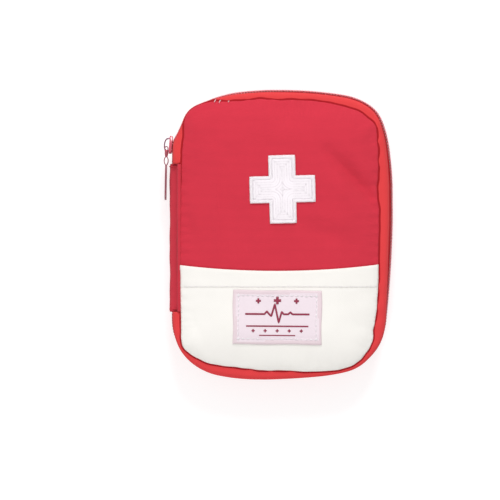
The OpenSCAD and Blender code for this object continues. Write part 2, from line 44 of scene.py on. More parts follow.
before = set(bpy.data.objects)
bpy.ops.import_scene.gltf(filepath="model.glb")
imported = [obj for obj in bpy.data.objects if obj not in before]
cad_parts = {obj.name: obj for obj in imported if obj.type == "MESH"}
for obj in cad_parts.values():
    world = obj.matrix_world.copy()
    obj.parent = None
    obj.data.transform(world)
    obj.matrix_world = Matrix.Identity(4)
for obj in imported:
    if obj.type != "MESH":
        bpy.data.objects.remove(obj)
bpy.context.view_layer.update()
MM = 0.001
UP, DOWN = (0, 0, 1.0), (0, 0, -1.0)


def srgb(r, g, b):
    """A colour written as 0-255 display values, as the linear values that Blender keeps."""
    return tuple(c / 12.92 if c <= 0.04045 else ((c + 0.055) / 1.055) ** 2.4
                 for c in (r / 255, g / 255, b / 255))


def corners(node):
    """A CAD node's lowest and highest corners, in millimetres."""
    lo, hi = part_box(node)
    return np.array(lo) * 1000, np.array(hi) * 1000


# ---- Properties ---------------------------------------------------------------

def length(name, what, default):
    return FloatProperty(name=name, description=what, default=default, min=0.0,
                         subtype="DISTANCE", unit="LENGTH", precision=5)


def colour(name, what, value):
    return FloatVectorProperty(name=name, description=what, default=value, size=3,
                               min=0.0, max=1.0, subtype="COLOR")


class PouchShape(bpy.types.PropertyGroup):
    width: length("Width", "Width across the closed zip line", 0.1118)
    height: length("Height", "Height across the closed zip line", 0.1456)
    corner: length("Corner radius", "Radius of the zip line's corners", 0.028)
    bow: length("Bow radius", "Radius of the bowed top and bottom", 0.2)
    zip_height: length("Zip height", "Height of the zip line above the table", 0.013)
    crown: length("Crown", "Swell of the padded front", 0.0042)
    mesh_step: length("Mesh step", "Spacing of the front's points", 0.0015)


class ZipSizes(bpy.types.PropertyGroup):
    pitch: length("Pitch", "Distance between neighbouring teeth of one row", 0.0015)
    tape: length("Tape", "Thickness of the woven tape", 0.0006)


class SewingSizes(bpy.types.PropertyGroup):
    satin: length("Satin pitch", "Distance between the border's satin stitches", 0.00028)
    seed: IntProperty(name="Seed", description="Seed of the small irregularities", default=7)


class PouchColours(bpy.types.PropertyGroup):
    crimson: colour("Crimson", "Outer cloth", srgb(223, 56, 75))
    spine: colour("Spine", "Cloth of the spine", srgb(217, 57, 74))
    # Seam: a darker crimson, painted as the shade in the seam groove
    seam: colour("Seam", "Cloth turned into the seams", srgb(168, 24, 34))
    tape: colour("Tape", "Zip tape", srgb(225, 66, 69))
    coil: colour("Coil", "Zip teeth", srgb(244, 150, 160))
    cream: colour("Cream", "Pocket cloth", srgb(245, 242, 237))
    thread: colour("Thread", "Embroidery thread", srgb(244, 237, 242))
    label: colour("Label", "Woven label", srgb(238, 224, 231))
    motif: colour("Motif", "The label's woven motif", srgb(150, 40, 70))
    paint: colour("Slider paint", "Paint of the slider", srgb(200, 60, 84))
    puller: colour("Puller", "Paint of the puller", srgb(146, 62, 78))
    bail: colour("Bail", "Metal of the bail", srgb(158, 120, 136))
    lining: colour("Lining", "Lining cloth", srgb(219, 219, 223))


SETTINGS = {"pouch_shape": PouchShape, "zip_sizes": ZipSizes,
            "sewing_sizes": SewingSizes, "pouch_colours": PouchColours}


# ---- The zip line ---------------------------------------------------------------

class ZipLine:
    """The closed zip line in millimetres, clockwise from the middle of the left side."""

    def __init__(self, shape):
        self.hw, self.hh = shape.width * 500, shape.height * 500
        r, bow = shape.corner * 1000, shape.bow * 1000
        self.cx = self.hw - r
        self.cy = self.hh - bow + math.sqrt((bow - r) ** 2 - self.cx ** 2)
        a = math.asin(self.cx / (bow - r))
        by, q = self.hh - bow, math.pi / 2
        xs, ys, an = [], [], []

        def line(x, y0, y1, angle):
            n = max(2, int(abs(y1 - y0) / 0.1))
            for t in np.arange(n) / n:
                xs.append(x), ys.append(y0 + (y1 - y0) * t), an.append(angle)

        def arc(x, y, rad, a0, a1):
            n = max(2, int(abs(a1 - a0) * rad / 0.1))
            for t in np.arange(n) / n:
                w = a0 + (a1 - a0) * t
                xs.append(x + rad * math.cos(w)), ys.append(y + rad * math.sin(w)), an.append(w)

        line(-self.hw, 0, self.cy, math.pi)
        arc(-self.cx, self.cy, r, math.pi, q + a)
        arc(0, by, bow, q + a, q - a)
        arc(self.cx, self.cy, r, q - a, 0)
        line(self.hw, self.cy, -self.cy, 0)
        arc(self.cx, -self.cy, r, 0, a - q)
        arc(0, -by, bow, a - q, -a - q)
        arc(-self.cx, -self.cy, r, -a - q, -math.pi)
        line(-self.hw, -self.cy, 0, -math.pi)
        xs.append(xs[0]), ys.append(ys[0]), an.append(-math.pi)
        self.x, self.y, self.a = np.array(xs), np.array(ys), np.array(an)
        self.s = np.concatenate([[0], np.cumsum(np.hypot(np.diff(self.x), np.diff(self.y)))])
        self.total = self.s[-1]
        g, v = self.smoothed(SEAM_INSET, 3)
        gathers = 0.12 * np.sin(g / 1.3 + 1.5 * np.sin(g / 8.0)) * (0.6 + 0.4 * np.sin(g / 14.0))
        self.seam = self.profile(g, v + 0.3 + gathers)
        self.dip = self.profile(*self.smoothed(CORNER_DENT, 5))
        self.tucked = self.profile(*self.smoothed(COIL_TUCK, 12))
        self.shoulder = self.profile(*self.smoothed(SHOULDER, 12))

    def smoothed(self, keys, reach):
        """Places and values of a profile through such keys, rounded over its reach."""
        k = np.array(keys)
        grid = np.arange(0, self.total, 0.5)
        v = np.interp(grid, k[:, 0], k[:, 1], period=self.total)
        w = np.cos(np.linspace(-math.pi / 2, math.pi / 2, int(reach * 4) + 1)) ** 2
        n = len(w) // 2
        v = np.convolve(np.concatenate([v[-n:], v, v[:n]]), w / w.sum(), "valid")
        return grid, v

    def profile(self, places, values):
        """What gives the value at any place along the line."""
        return lambda s: np.interp(s, places, values, period=self.total)

    def at(self, s, inset=0.0):
        """Points at places along the line, a distance inside it, and the outward normals."""
        s = np.mod(s, self.total)
        a = np.interp(s, self.s, self.a)
        n = np.stack([np.cos(a), np.sin(a)], -1)
        p = np.stack([np.interp(s, self.s, self.x), np.interp(s, self.s, self.y)], -1)
        return p - n * np.asarray(inset)[..., None], n

    def nearest(self, pts):
        """Place along the line and distance inside it, for points within the pouch."""
        sx, sy, ss = self.x[:-1:5], self.y[:-1:5], self.s[:-1:5]
        place, dist = np.empty(len(pts)), np.empty(len(pts))
        for i in range(0, len(pts), 2000):
            q = pts[i:i + 2000]
            d = np.hypot(q[:, :1] - sx, q[:, 1:2] - sy)
            j = d.argmin(1)
            place[i:i + 2000], dist[i:i + 2000] = ss[j], d[np.arange(len(q)), j]
        return place, dist

    def from_seam(self, pts):
        """Place along the line and distance inside the front's seam."""
        place, dist = self.nearest(pts)
        return place, dist - self.seam(place)


# Distance of the front's seam inside the zip line, at places along it
SEAM_INSET = [(0, 4.1), (20, 4.6), (36, 5.0), (47, 5.5), (51, 5.2), (55, 3.9), (59, 1.9), (63, 0.8),
              (67, 0.7), (71, 1.3), (76, 2.2), (81, 3.1), (86, 3.9), (92, 4.5), (98, 4.4), (102, 4.3),
              (109, 4.8), (113, 5.3), (121, 5.0), (132, 5.0), (139, 5.3), (147, 6.0), (152, 6.3),
              (156, 5.8), (164, 6.0), (169, 5.3), (172, 5.3), (176, 6.7), (180, 7.5), (192, 7.5),
              (197, 7.3), (205, 8.0), (210, 8.0), (216, 7.0), (224, 7.0), (238, 7.3), (252, 7.3),
              (260, 7.8), (268, 8.3), (274, 9.2), (280, 9.2), (284, 8.1), (288, 6.9), (296, 5.6),
              (300, 4.6), (304, 3.7), (310, 2.8), (316, 2.3), (324, 2.7), (332, 3.1), (337, 3.7),
              (344, 4.2), (352, 3.8), (364, 4.3), (374, 4.2), (384, 3.6), (391, 2.9), (396, 1.9),
              (400, 1.5), (403, 2.4), (408, 4.0), (413, 4.8), (422, 4.6), (440, 4.2)]
# How far the zip is drawn in where the soft corners sag
CORNER_DENT = [(0, 0), (46, 0), (50, 1.4), (54, 1.85), (58, 1.6), (62, 0.6), (65, 0.2), (69, 0.5),
               (73, 1.2), (77, 1.45), (81, 0.9), (86, 0.3), (91, -0.1), (106, -0.15), (112, 0), (146, 0.05),
               (151, 0.25), (158, 0.15), (164, 0.05), (169, 0.7), (174, 1.6), (180, 2.05), (184, 1.95),
               (190, 1.2), (196, 0.55), (204, 0.1), (222, 0), (232, 0.3), (244, 0.85), (256, 1.7),
               (266, 2.5), (273, 3.2), (279, 3.35), (290, 2.8), (297, 2.4), (302, 1.6), (308, 0.9),
               (314, 0.4), (322, 0.1), (340, 0), (430, 0)]
# How far the tapes' shoulders lie inside the drawn-in line, so that the teeth show, or bulge over them
SHOULDER = [(0, 1.5), (50, 1.3), (60, 1.0), (84, 1.6), (100, 2.0), (120, 2.2), (150, 2.3), (180, 2.5),
            (200, 2.75), (240, 2.7), (262, 1.8), (280, 0.9), (336, 0.8), (344, 0.5), (352, 0.05),
            (364, -0.5), (372, -0.55), (380, -0.05), (388, 0.2), (400, 0.3), (405, 1.1), (414, 1.4),
            (430, 1.4), (450, 1.5)]
# How far the teeth hide under the tape along the lower half
COIL_TUCK = [(0, 0), (255, 0), (285, 0.8), (300, 1.2), (410, 1.2), (430, 0.4), (450, 0)]

TAPE_FROM, TAPE_TO = 35.25, 419.15    # the tapes' run, from the spine's top round to its foot
PARK = 44.97                         # the slider's place when closed


# ---- Mesh tools -----------------------------------------------------------------

def linked(name, data):
    ob = bpy.data.objects.new(name, data)
    bpy.context.scene.collection.objects.link(ob)
    return ob


def mesh_object(name, verts, faces, material=None, uv=None):
    """A linked object from points in millimetres, with a finish and a UV for each point if any."""
    me = bpy.data.meshes.new(name)
    me.from_pydata((np.asarray(verts, float) * MM).tolist(), [], [list(map(int, f)) for f in faces])
    if uv is not None:
        idx = np.empty(len(me.loops), int)
        me.loops.foreach_get("vertex_index", idx)
        layer = me.uv_layers.new(name="UVMap")
        layer.data.foreach_set("uv", np.asarray(uv, float)[idx].ravel())
    me.polygons.foreach_set("use_smooth", [True] * len(me.polygons))
    me.update()
    if material:
        me.materials.append(stuff(material))
    return linked(name, me)


def run(pts):
    """Lengths along a line of points, from 0."""
    return np.concatenate([[0], np.cumsum(np.linalg.norm(np.diff(pts, axis=0), axis=1))])


def points(*axes):
    """Points from their coordinates, which are arrays or single numbers."""
    return np.stack(np.broadcast_arrays(*axes), -1)


def pattern_of(along, across):
    """The flat pattern of a cloth, as UV, from its lengths along and across."""
    return points(along[:, None], across)


def at_height(xy, z):
    return points(*np.asarray(xy).T, z)


def all_round(n):
    return np.arange(n) / n * 2 * math.pi


def grid(P, close_u=False, close_v=False):
    """Points and quads of a grid of points P[u, v]."""
    nu, nv = P.shape[:2]
    u, v = np.arange(nu if close_u else nu - 1), np.arange(nv if close_v else nv - 1)
    U, V = np.meshgrid(u, v, indexing="ij")
    U, V, U1, V1 = U.ravel(), V.ravel(), ((U + 1) % nu).ravel(), ((V + 1) % nv).ravel()
    return P.reshape(-1, 3), np.stack([U * nv + V, U1 * nv + V, U1 * nv + V1, U * nv + V1], -1)


def strip(name, P, material, uv=None, **closed):
    v, f = grid(P, **closed)
    return mesh_object(name, v, f, material, None if uv is None else uv.reshape(-1, 2))


def upward(ob):
    """Turns an open sheet's faces up."""
    ob.data.update()
    if sum(p.normal.z * p.area for p in ob.data.polygons) < 0:
        ob.data.flip_normals()
    return ob


def outward(ob):
    """Turns a closed shell's faces outwards."""
    bm = bmesh.new()
    bm.from_mesh(ob.data)
    bmesh.ops.remove_doubles(bm, verts=bm.verts, dist=1e-6)
    bmesh.ops.recalc_face_normals(bm, faces=bm.faces)
    bm.to_mesh(ob.data)
    bm.free()
    return ob


def settled(ob):
    """The object's evaluated shape as its own plain mesh, with no modifier left."""
    bpy.context.view_layer.update()
    ev = ob.evaluated_get(bpy.context.evaluated_depsgraph_get())
    me = bpy.data.meshes.new_from_object(ev, preserve_all_data_layers=True,
                                         depsgraph=bpy.context.evaluated_depsgraph_get())
    ob.modifiers.clear()
    old, ob.data = ob.data, me
    me.name = ob.name
    bpy.data.meshes.remove(old)
    return ob


def thick(ob, t, offset=-1.0, even=True):
    """Gives a sheet its thickness in millimetres."""
    m = ob.modifiers.new("Thickness", "SOLIDIFY")
    m.thickness, m.offset, m.use_even_offset = t * MM, offset, even
    m.use_rim = True
    return settled(ob)


def softened(ob, width, segments, angle):
    """Rounds the edges that are sharper than an angle in degrees."""
    m = ob.modifiers.new("Soft edges", "BEVEL")
    m.width, m.segments, m.limit_method, m.angle_limit = width * MM, segments, "ANGLE", math.radians(angle)
    return settled(ob)


def subdivided(ob):
    m = ob.modifiers.new("Smooth", "SUBSURF")
    m.levels = m.render_levels = 1
    return settled(ob)


def joined(name, *obs):
    """Several objects as one."""
    bm = bmesh.new()
    mats = []
    for o in obs:
        start = len(bm.faces)
        bm.from_mesh(o.data)
        bm.faces.ensure_lookup_table()
        at = []
        for m in o.data.materials:
            if m not in mats:
                mats.append(m)
            at.append(mats.index(m))
        for f in bm.faces[start:]:
            f.material_index = at[f.material_index] if at else 0
    me = bpy.data.meshes.new(name)
    bm.to_mesh(me)
    bm.free()
    for m in mats:
        me.materials.append(m)
    for o in obs:
        bpy.data.objects.remove(o)
    return linked(name, me)


def dressed_copy(node, name, material, bevel, segments):
    """A CAD node's own form with its edges softened."""
    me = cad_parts[node].data.copy()
    ob = linked(name, me)
    me.materials.clear()
    me.materials.append(stuff(material))
    bm = bmesh.new()
    bm.from_mesh(me)
    bmesh.ops.remove_doubles(bm, verts=bm.verts, dist=2e-6)
    bmesh.ops.dissolve_limit(bm, angle_limit=math.radians(1), verts=bm.verts, edges=bm.edges)
    for f in bm.faces:
        f.smooth = True
        f.material_index = 0
    bm.to_mesh(me)
    bm.free()
    return softened(ob, bevel, segments, 40)


def finish(ob, body, slot, *nodes):
    """Puts a piece on its body, and lets it stand for CAD nodes by hiding them. The slot is not used."""
    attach(ob, body)
    if nodes:
        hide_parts(*nodes)
    return ob


# ---- Node trees -----------------------------------------------------------------

class Tree:
    """Adds nodes to a tree and wires them as they are named."""

    def __init__(self, tree):
        self.tree, self.count = tree, 0

    def put(self, socket, value):
        """Wires a node or socket to a socket, or sets the socket's own value."""
        if isinstance(value, bpy.types.Node):
            value = value.outputs[0]
        if isinstance(value, bpy.types.NodeSocket):
            self.tree.links.new(value, socket)
        else:
            socket.default_value = value

    def node(self, kind, ins=None, **props):
        """A new node with its inputs and properties set, laid out in rows."""
        n = self.tree.nodes.new(kind)
        n.location = (200 * (self.count % 12), -260 * (self.count // 12))
        self.count += 1
        for k, v in props.items():
            setattr(n, k, v)
        for k, v in (ins or {}).items():
            self.put(n.inputs[k], v)
        return n

    def math(self, op, *values):
        return self.node("ShaderNodeMath", dict(enumerate(values)), operation=op).outputs[0]

    def wave(self, a):
        """A sine that swings between 0 and 1."""
        return self.muladd(self.sin(a), 0.5, 0.5)

    def centred(self, a):
        return self.sub(a, 0.5)

    def apart(self, vector):
        return self.node("ShaderNodeSeparateXYZ", {0: vector}).outputs

    def mix(self, fac, a, b):
        """A colour from a to b."""
        n = self.node("ShaderNodeMix", data_type="RGBA", blend_type="MIX", clamp_factor=True)
        for i, v in ((0, fac), (6, a), (7, b)):
            if not isinstance(v, (bpy.types.Node, bpy.types.NodeSocket, int, float)) and len(v) == 3:
                v = (*v, 1.0)
            self.put(n.inputs[i], v)
        return n.outputs[2]

    def scaled(self, vector, factor):
        if isinstance(factor, (int, float)):
            factor = (factor,) * 3
        return self.node("ShaderNodeVectorMath", {0: vector, 1: factor}, operation="MULTIPLY").outputs[0]

    def noise(self, vector, scale, detail=2.0, rough=0.5):
        return self.node("ShaderNodeTexNoise", {"Vector": vector, "Scale": scale,
                                                "Detail": detail, "Roughness": rough}).outputs["Fac"]

    def group(self, name, ins):
        n = self.node("ShaderNodeGroup", node_tree=effect(name))
        for k, v in ins.items():
            self.put(n.inputs[k], v)
        return n


for short, operation in (("mul", "MULTIPLY"), ("add", "ADD"), ("sub", "SUBTRACT"), ("div", "DIVIDE"),
                         ("sin", "SINE"), ("abs", "ABSOLUTE"), ("max", "MAXIMUM"),
                         ("muladd", "MULTIPLY_ADD")):
    setattr(Tree, short, lambda self, *values, op=operation: self.math(op, *values))


def new_tree(name, kind, ins, outs):
    """A node group with named inputs and outputs, as itself, its writer and its two ends."""
    g = bpy.data.node_groups.new(name, kind)
    for label, socket, value in ins:
        s = g.interface.new_socket(label, in_out="INPUT", socket_type="NodeSocket" + socket)
        if value is not None:
            s.default_value = value
    for label, socket in outs:
        g.interface.new_socket(label, in_out="OUTPUT", socket_type="NodeSocket" + socket)
    t = Tree(g)
    return g, t, t.node("NodeGroupInput").outputs, t.node("NodeGroupOutput").inputs


def new_group(name, outs, **sizes):
    """A shading group that reads a Vector, named sizes and, where one has no default, a colour."""
    ins = [(k, "Float" if v else "Color", v) for k, v in sizes.items()]
    return new_tree(name, "ShaderNodeTree", [("Vector", "Vector", None)] + ins,
                    [(k, "Color" if k == "Colour" else "Float") for k in outs])


def rib_weave():
    """Fine ribs across the cloth, each crossed by its threads. Vector in millimetres."""
    g, t, i, o = new_group("Rib weave", ("Height", "Gap"), Rib=0.55, Thread=0.4)
    bend = t.mul(t.centred(t.noise(i["Vector"], 0.35, 2)), 0.5)
    xyz = t.apart(i["Vector"])
    row = t.div(t.add(xyz[1], bend), i["Rib"])
    turn = t.mul(t.math("FLOOR", row), math.pi)
    ribs = t.abs(t.sin(t.mul(row, math.pi)))
    phase = t.mul(t.div(t.add(xyz[0], bend), i["Thread"]), math.tau)
    cross = t.wave(t.add(phase, turn))
    t.put(o["Height"], t.add(t.mul(ribs, 0.65), t.mul(cross, 0.35)))
    t.put(o["Gap"], t.sub(1.0, t.mul(ribs, t.muladd(cross, 0.3, 0.7))))
    return g


def plain_weave():
    """Over and under threads of equal size. Vector in millimetres."""
    g, t, i, o = new_group("Plain weave", ("Height", "Gap"), Thread=0.45, Slub=0.4)
    bend = t.mul(t.centred(t.noise(i["Vector"], 0.5, 2)), i["Slub"])
    xyz = t.apart(i["Vector"])
    step = t.div(math.pi, i["Thread"])
    sx = t.sin(t.mul(t.add(xyz[0], bend), step))
    sy = t.sin(t.mul(t.add(xyz[1], bend), step))
    over = t.muladd(t.mul(sx, sy), 0.5, 0.5)
    thread = t.max(t.abs(sx), t.abs(sy))
    t.put(o["Height"], t.mul(over, thread))
    t.put(o["Gap"], t.sub(1.0, thread))
    return g


def herringbone():
    """Slanted twill in bands that turn about. Vector holds along and across, in millimetres."""
    g, t, i, o = new_group("Herringbone", ("Height", "Gap"), Pitch=0.7, Band=2.2)
    xyz = t.apart(i["Vector"])
    zig = t.math("PINGPONG", xyz[1], i["Band"])
    w = t.mul(t.div(t.add(xyz[0], zig), i["Pitch"]), math.tau)
    h = t.wave(w)
    t.put(o["Height"], h)
    t.put(o["Gap"], t.math("POWER", t.sub(1.0, h), 3.0))
    return g


def mottle():
    """A colour that drifts a little over the cloth."""
    g, t, i, o = new_group("Mottle", ("Colour",), Colour=None, Scale=0.08, Amount=0.1)
    n = t.noise(i["Vector"], i["Scale"], 3, 0.6)
    v = t.muladd(t.sub(n, 0.5), t.mul(i["Amount"], 2.0), 1.0)
    t.put(o["Colour"], t.node("ShaderNodeVectorMath", {0: i["Colour"], 3: v}, operation="SCALE").outputs[0])
    return g


def twist():
    """The slanting plies of a thread. Vector holds along and around, in millimetres."""
    g, t, i, o = new_group("Twist", ("Height",), Pitch=0.3)
    xyz = t.apart(i["Vector"])
    w = t.div(t.add(xyz[0], xyz[1]), i["Pitch"])
    t.put(o["Height"], t.wave(t.mul(w, math.tau)))
    return g


def crinkle():
    """Small sharp creases, as in foil and paper. Vector in millimetres."""
    g, t, i, o = new_group("Crinkle", ("Height",), Scale=0.2)
    bent = t.node("ShaderNodeVectorMath", {0: i["Vector"], 1: t.noise(i["Vector"], 0.3, 3)}, operation="ADD")
    n = t.node("ShaderNodeTexVoronoi", {"Vector": bent, "Scale": i["Scale"]}, feature="F2")
    t.put(o["Height"], n.outputs["Distance"])
    return g


EFFECTS = {"Rib weave": rib_weave, "Plain weave": plain_weave, "Herringbone": herringbone,
           "Mottle": mottle, "Twist": twist, "Crinkle": crinkle}


def effect(name):
    return bpy.data.node_groups.get(name) or EFFECTS[name]()


def new_material(name, rough, metallic=0.0, **fixed):
    """A material, its writer and its shader, with fixed values on the shader's own sockets."""
    m = bpy.data.materials.new(name)
    m.use_nodes = True
    m.node_tree.nodes.clear()
    t = Tree(m.node_tree)
    out = t.node("ShaderNodeOutputMaterial")
    b = t.node("ShaderNodeBsdfPrincipled", {"Roughness": rough, "Metallic": metallic})
    for k, v in fixed.items():
        b.inputs[k.replace("_", " ")].default_value = v
    t.put(out.inputs["Surface"], b)
    return m, t, b


def place(t, uv=False):
    """Object coordinates, or the piece's own UV, in millimetres."""
    c = t.node("ShaderNodeTexCoord").outputs["UV" if uv else "Object"]
    return c if uv else t.scaled(c, 1000.0)


def bump(t, b, height, depth):
    """Lets a height of 0 to 1 stand up by a depth in millimetres."""
    t.put(b.inputs["Normal"], t.node("ShaderNodeBump", {"Height": height, "Distance": depth * MM}))


def mottled(t, v, base, amount, **more):
    return t.group("Mottle", {"Vector": v, "Colour": (*base, 1.0), "Amount": amount, **more}).outputs[0]


def cloth(name, base, weave="Plain weave", depth=0.08, shade=0.12, drift=0.06, uv=False,
          sheen=0.08, sizes=None, rough=0.92):
    """Matte woven cloth: weave in the bump and in the gaps' shade, and a slow drift of colour."""
    m, t, b = new_material(name, rough, Sheen_Weight=sheen, Sheen_Roughness=0.5,
                           Specular_IOR_Level=0.15)
    v = place(t, uv)
    w = t.group(weave, {"Vector": v, **(sizes or {})})
    dark = t.mix(t.mul(w.outputs["Gap"], shade), mottled(t, v, base, drift), (0.0, 0.0, 0.0))
    t.put(b.inputs["Base Color"], dark)
    bump(t, b, w.outputs["Height"], depth)
    return m


def threads(name, base, rough, pitch, shade=0.15):
    """Shiny sewing thread with its plies, on the stitch's own coordinates."""
    m, t, b = new_material(name, rough, Sheen_Weight=0.2, Specular_IOR_Level=0.4)
    h = t.group("Twist", {"Vector": place(t, True), "Pitch": pitch}).outputs[0]
    t.put(b.inputs["Base Color"], t.mix(t.mul(t.sub(1.0, h), shade),
                                        base, tuple(c * 0.5 for c in base)))
    bump(t, b, h, 0.04)
    return m


MADE = {}


def stuff(name):
    """The named finish, made the first time it is asked for."""
    if name not in MADE:
        MADE[name] = FINISHES[name](bpy.context.scene.pouch_colours)
    return MADE[name]


# ---- Finishes -------------------------------------------------------------------

def coil_plastic(c):
    """Slightly glossy plastic of the zip's teeth."""
    m, t, b = new_material("Zip coil", 0.38, Coat_Weight=0.15, Coat_Roughness=0.3)
    v = place(t)
    t.put(b.inputs["Base Color"], mottled(t, v, c.coil, 0.14, Scale=0.9))
    bump(t, b, t.noise(v, 5.0, 2), 0.02)
    return m


def embroidery(c):
    """Filled stitching in rows that follow the patch's edge. UV holds distance in and along."""
    m, t, b = new_material("Cross fill", 0.7, Sheen_Weight=0.2, Specular_IOR_Level=0.3)
    v = place(t, True)
    xyz = t.apart(v)
    wander = t.mul(t.centred(t.noise(v, 0.9, 2)), 0.35)
    row = t.sin(t.mul(t.add(xyz[0], wander), math.tau / ROWS))
    seamed = t.math("POWER", t.muladd(row, 0.5, 0.5), 6.0)
    fine = t.wave(t.mul(xyz[1], math.tau / 0.32))
    nick = t.math("GREATER_THAN", t.noise(v, 1.3, 2), 0.56)
    # the rows' seams and random nicks sink in the bump and are painted darker as shade
    groove_depth_and_shade = t.mul(seamed, t.muladd(nick, 0.5, 0.35))
    t.put(b.inputs["Base Color"], t.mix(t.mul(groove_depth_and_shade, 0.5), tuple(c.thread),
                                        srgb(206, 192, 202)))
    bump(t, b, t.sub(t.mul(fine, 0.4), groove_depth_and_shade), 0.1)
    return m


def paint(name, base, rough, coat, wear=None):
    """Glossy paint on metal, a little uneven, and chipped where it has a colour of wear."""
    m, t, b = new_material(name, rough, Coat_Weight=coat, Coat_Roughness=0.08)
    v = place(t)
    n = t.noise(v, 1.6, 4, 0.6)
    col = t.mix(n, tuple(x * 0.86 for x in base), tuple(base))
    if wear:
        col = t.mix(t.math("GREATER_THAN", t.noise(v, 2.3, 5, 0.7), 0.73), col, wear)
    t.put(b.inputs["Base Color"], col)
    t.put(b.inputs["Roughness"], t.muladd(n, 0.16, rough - 0.08))
    bump(t, b, t.noise(v, 8.0, 2), 0.02)
    return m


def brushed(name, base, rough, along=(0.4, 0.02, 0.4)):
    """Metal with fine streaks."""
    m, t, b = new_material(name, rough, 1.0)
    v = place(t)
    streak = t.noise(t.scaled(v, tuple(30 * a for a in along)), 1.0, 4, 0.6)
    t.put(b.inputs["Base Color"], t.mix(streak, tuple(x * 0.82 for x in base), tuple(base)))
    t.put(b.inputs["Roughness"], t.muladd(streak, 0.2, rough - 0.08))
    bump(t, b, streak, 0.008)
    return m


def paper(name, base, crease, rough, scale, fibre):
    """Creased paper with fibres that mottle it."""
    m, t, b = new_material(name, rough, Specular_IOR_Level=0.3)
    v = place(t)
    h = t.group("Crinkle", {"Vector": v, "Scale": scale}).outputs[0]
    f = t.noise(v, 3.5, 4, 0.7)
    t.put(b.inputs["Base Color"], mottled(t, v, base, fibre))
    bump(t, b, t.add(h, t.mul(f, 0.25)), crease)
    return m


def foil():
    """Crinkled foil laminate."""
    m, t, b = new_material("Sachet foil", 0.3, 0.55, Coat_Weight=0.2, Coat_Roughness=0.2)
    v = place(t)
    h = t.group("Crinkle", {"Vector": v, "Scale": 0.32}).outputs[0]
    t.put(b.inputs["Base Color"], t.mix(t.noise(v, 0.2, 3), srgb(150, 184, 210), srgb(196, 216, 230)))
    t.put(b.inputs["Roughness"], t.muladd(t.noise(v, 0.8, 3), 0.2, 0.22))
    bump(t, b, h, 0.3)
    return m


def ribbed(name, base, pitch, depth, rough=0.85, shade=0.25):
    """Elastic or crepe: close cords with a fine cross weave, on the piece's own UV."""
    m, t, b = new_material(name, rough, Sheen_Weight=0.15, Specular_IOR_Level=0.2)
    v = place(t, True)
    xyz = t.apart(v)
    wave = t.mul(t.centred(t.noise(v, 0.6, 3)), pitch)
    cord = t.abs(t.sin(t.mul(t.add(xyz[1], wave), math.pi / pitch)))
    fine = t.wave(t.mul(xyz[0], math.tau / (pitch * 0.6)))
    t.put(b.inputs["Base Color"], t.mix(t.mul(t.sub(1.0, cord), shade), tuple(base),
                                        tuple(x * 0.35 for x in base)))
    bump(t, b, t.add(t.mul(cord, 0.7), t.mul(fine, 0.3)), depth)
    return m


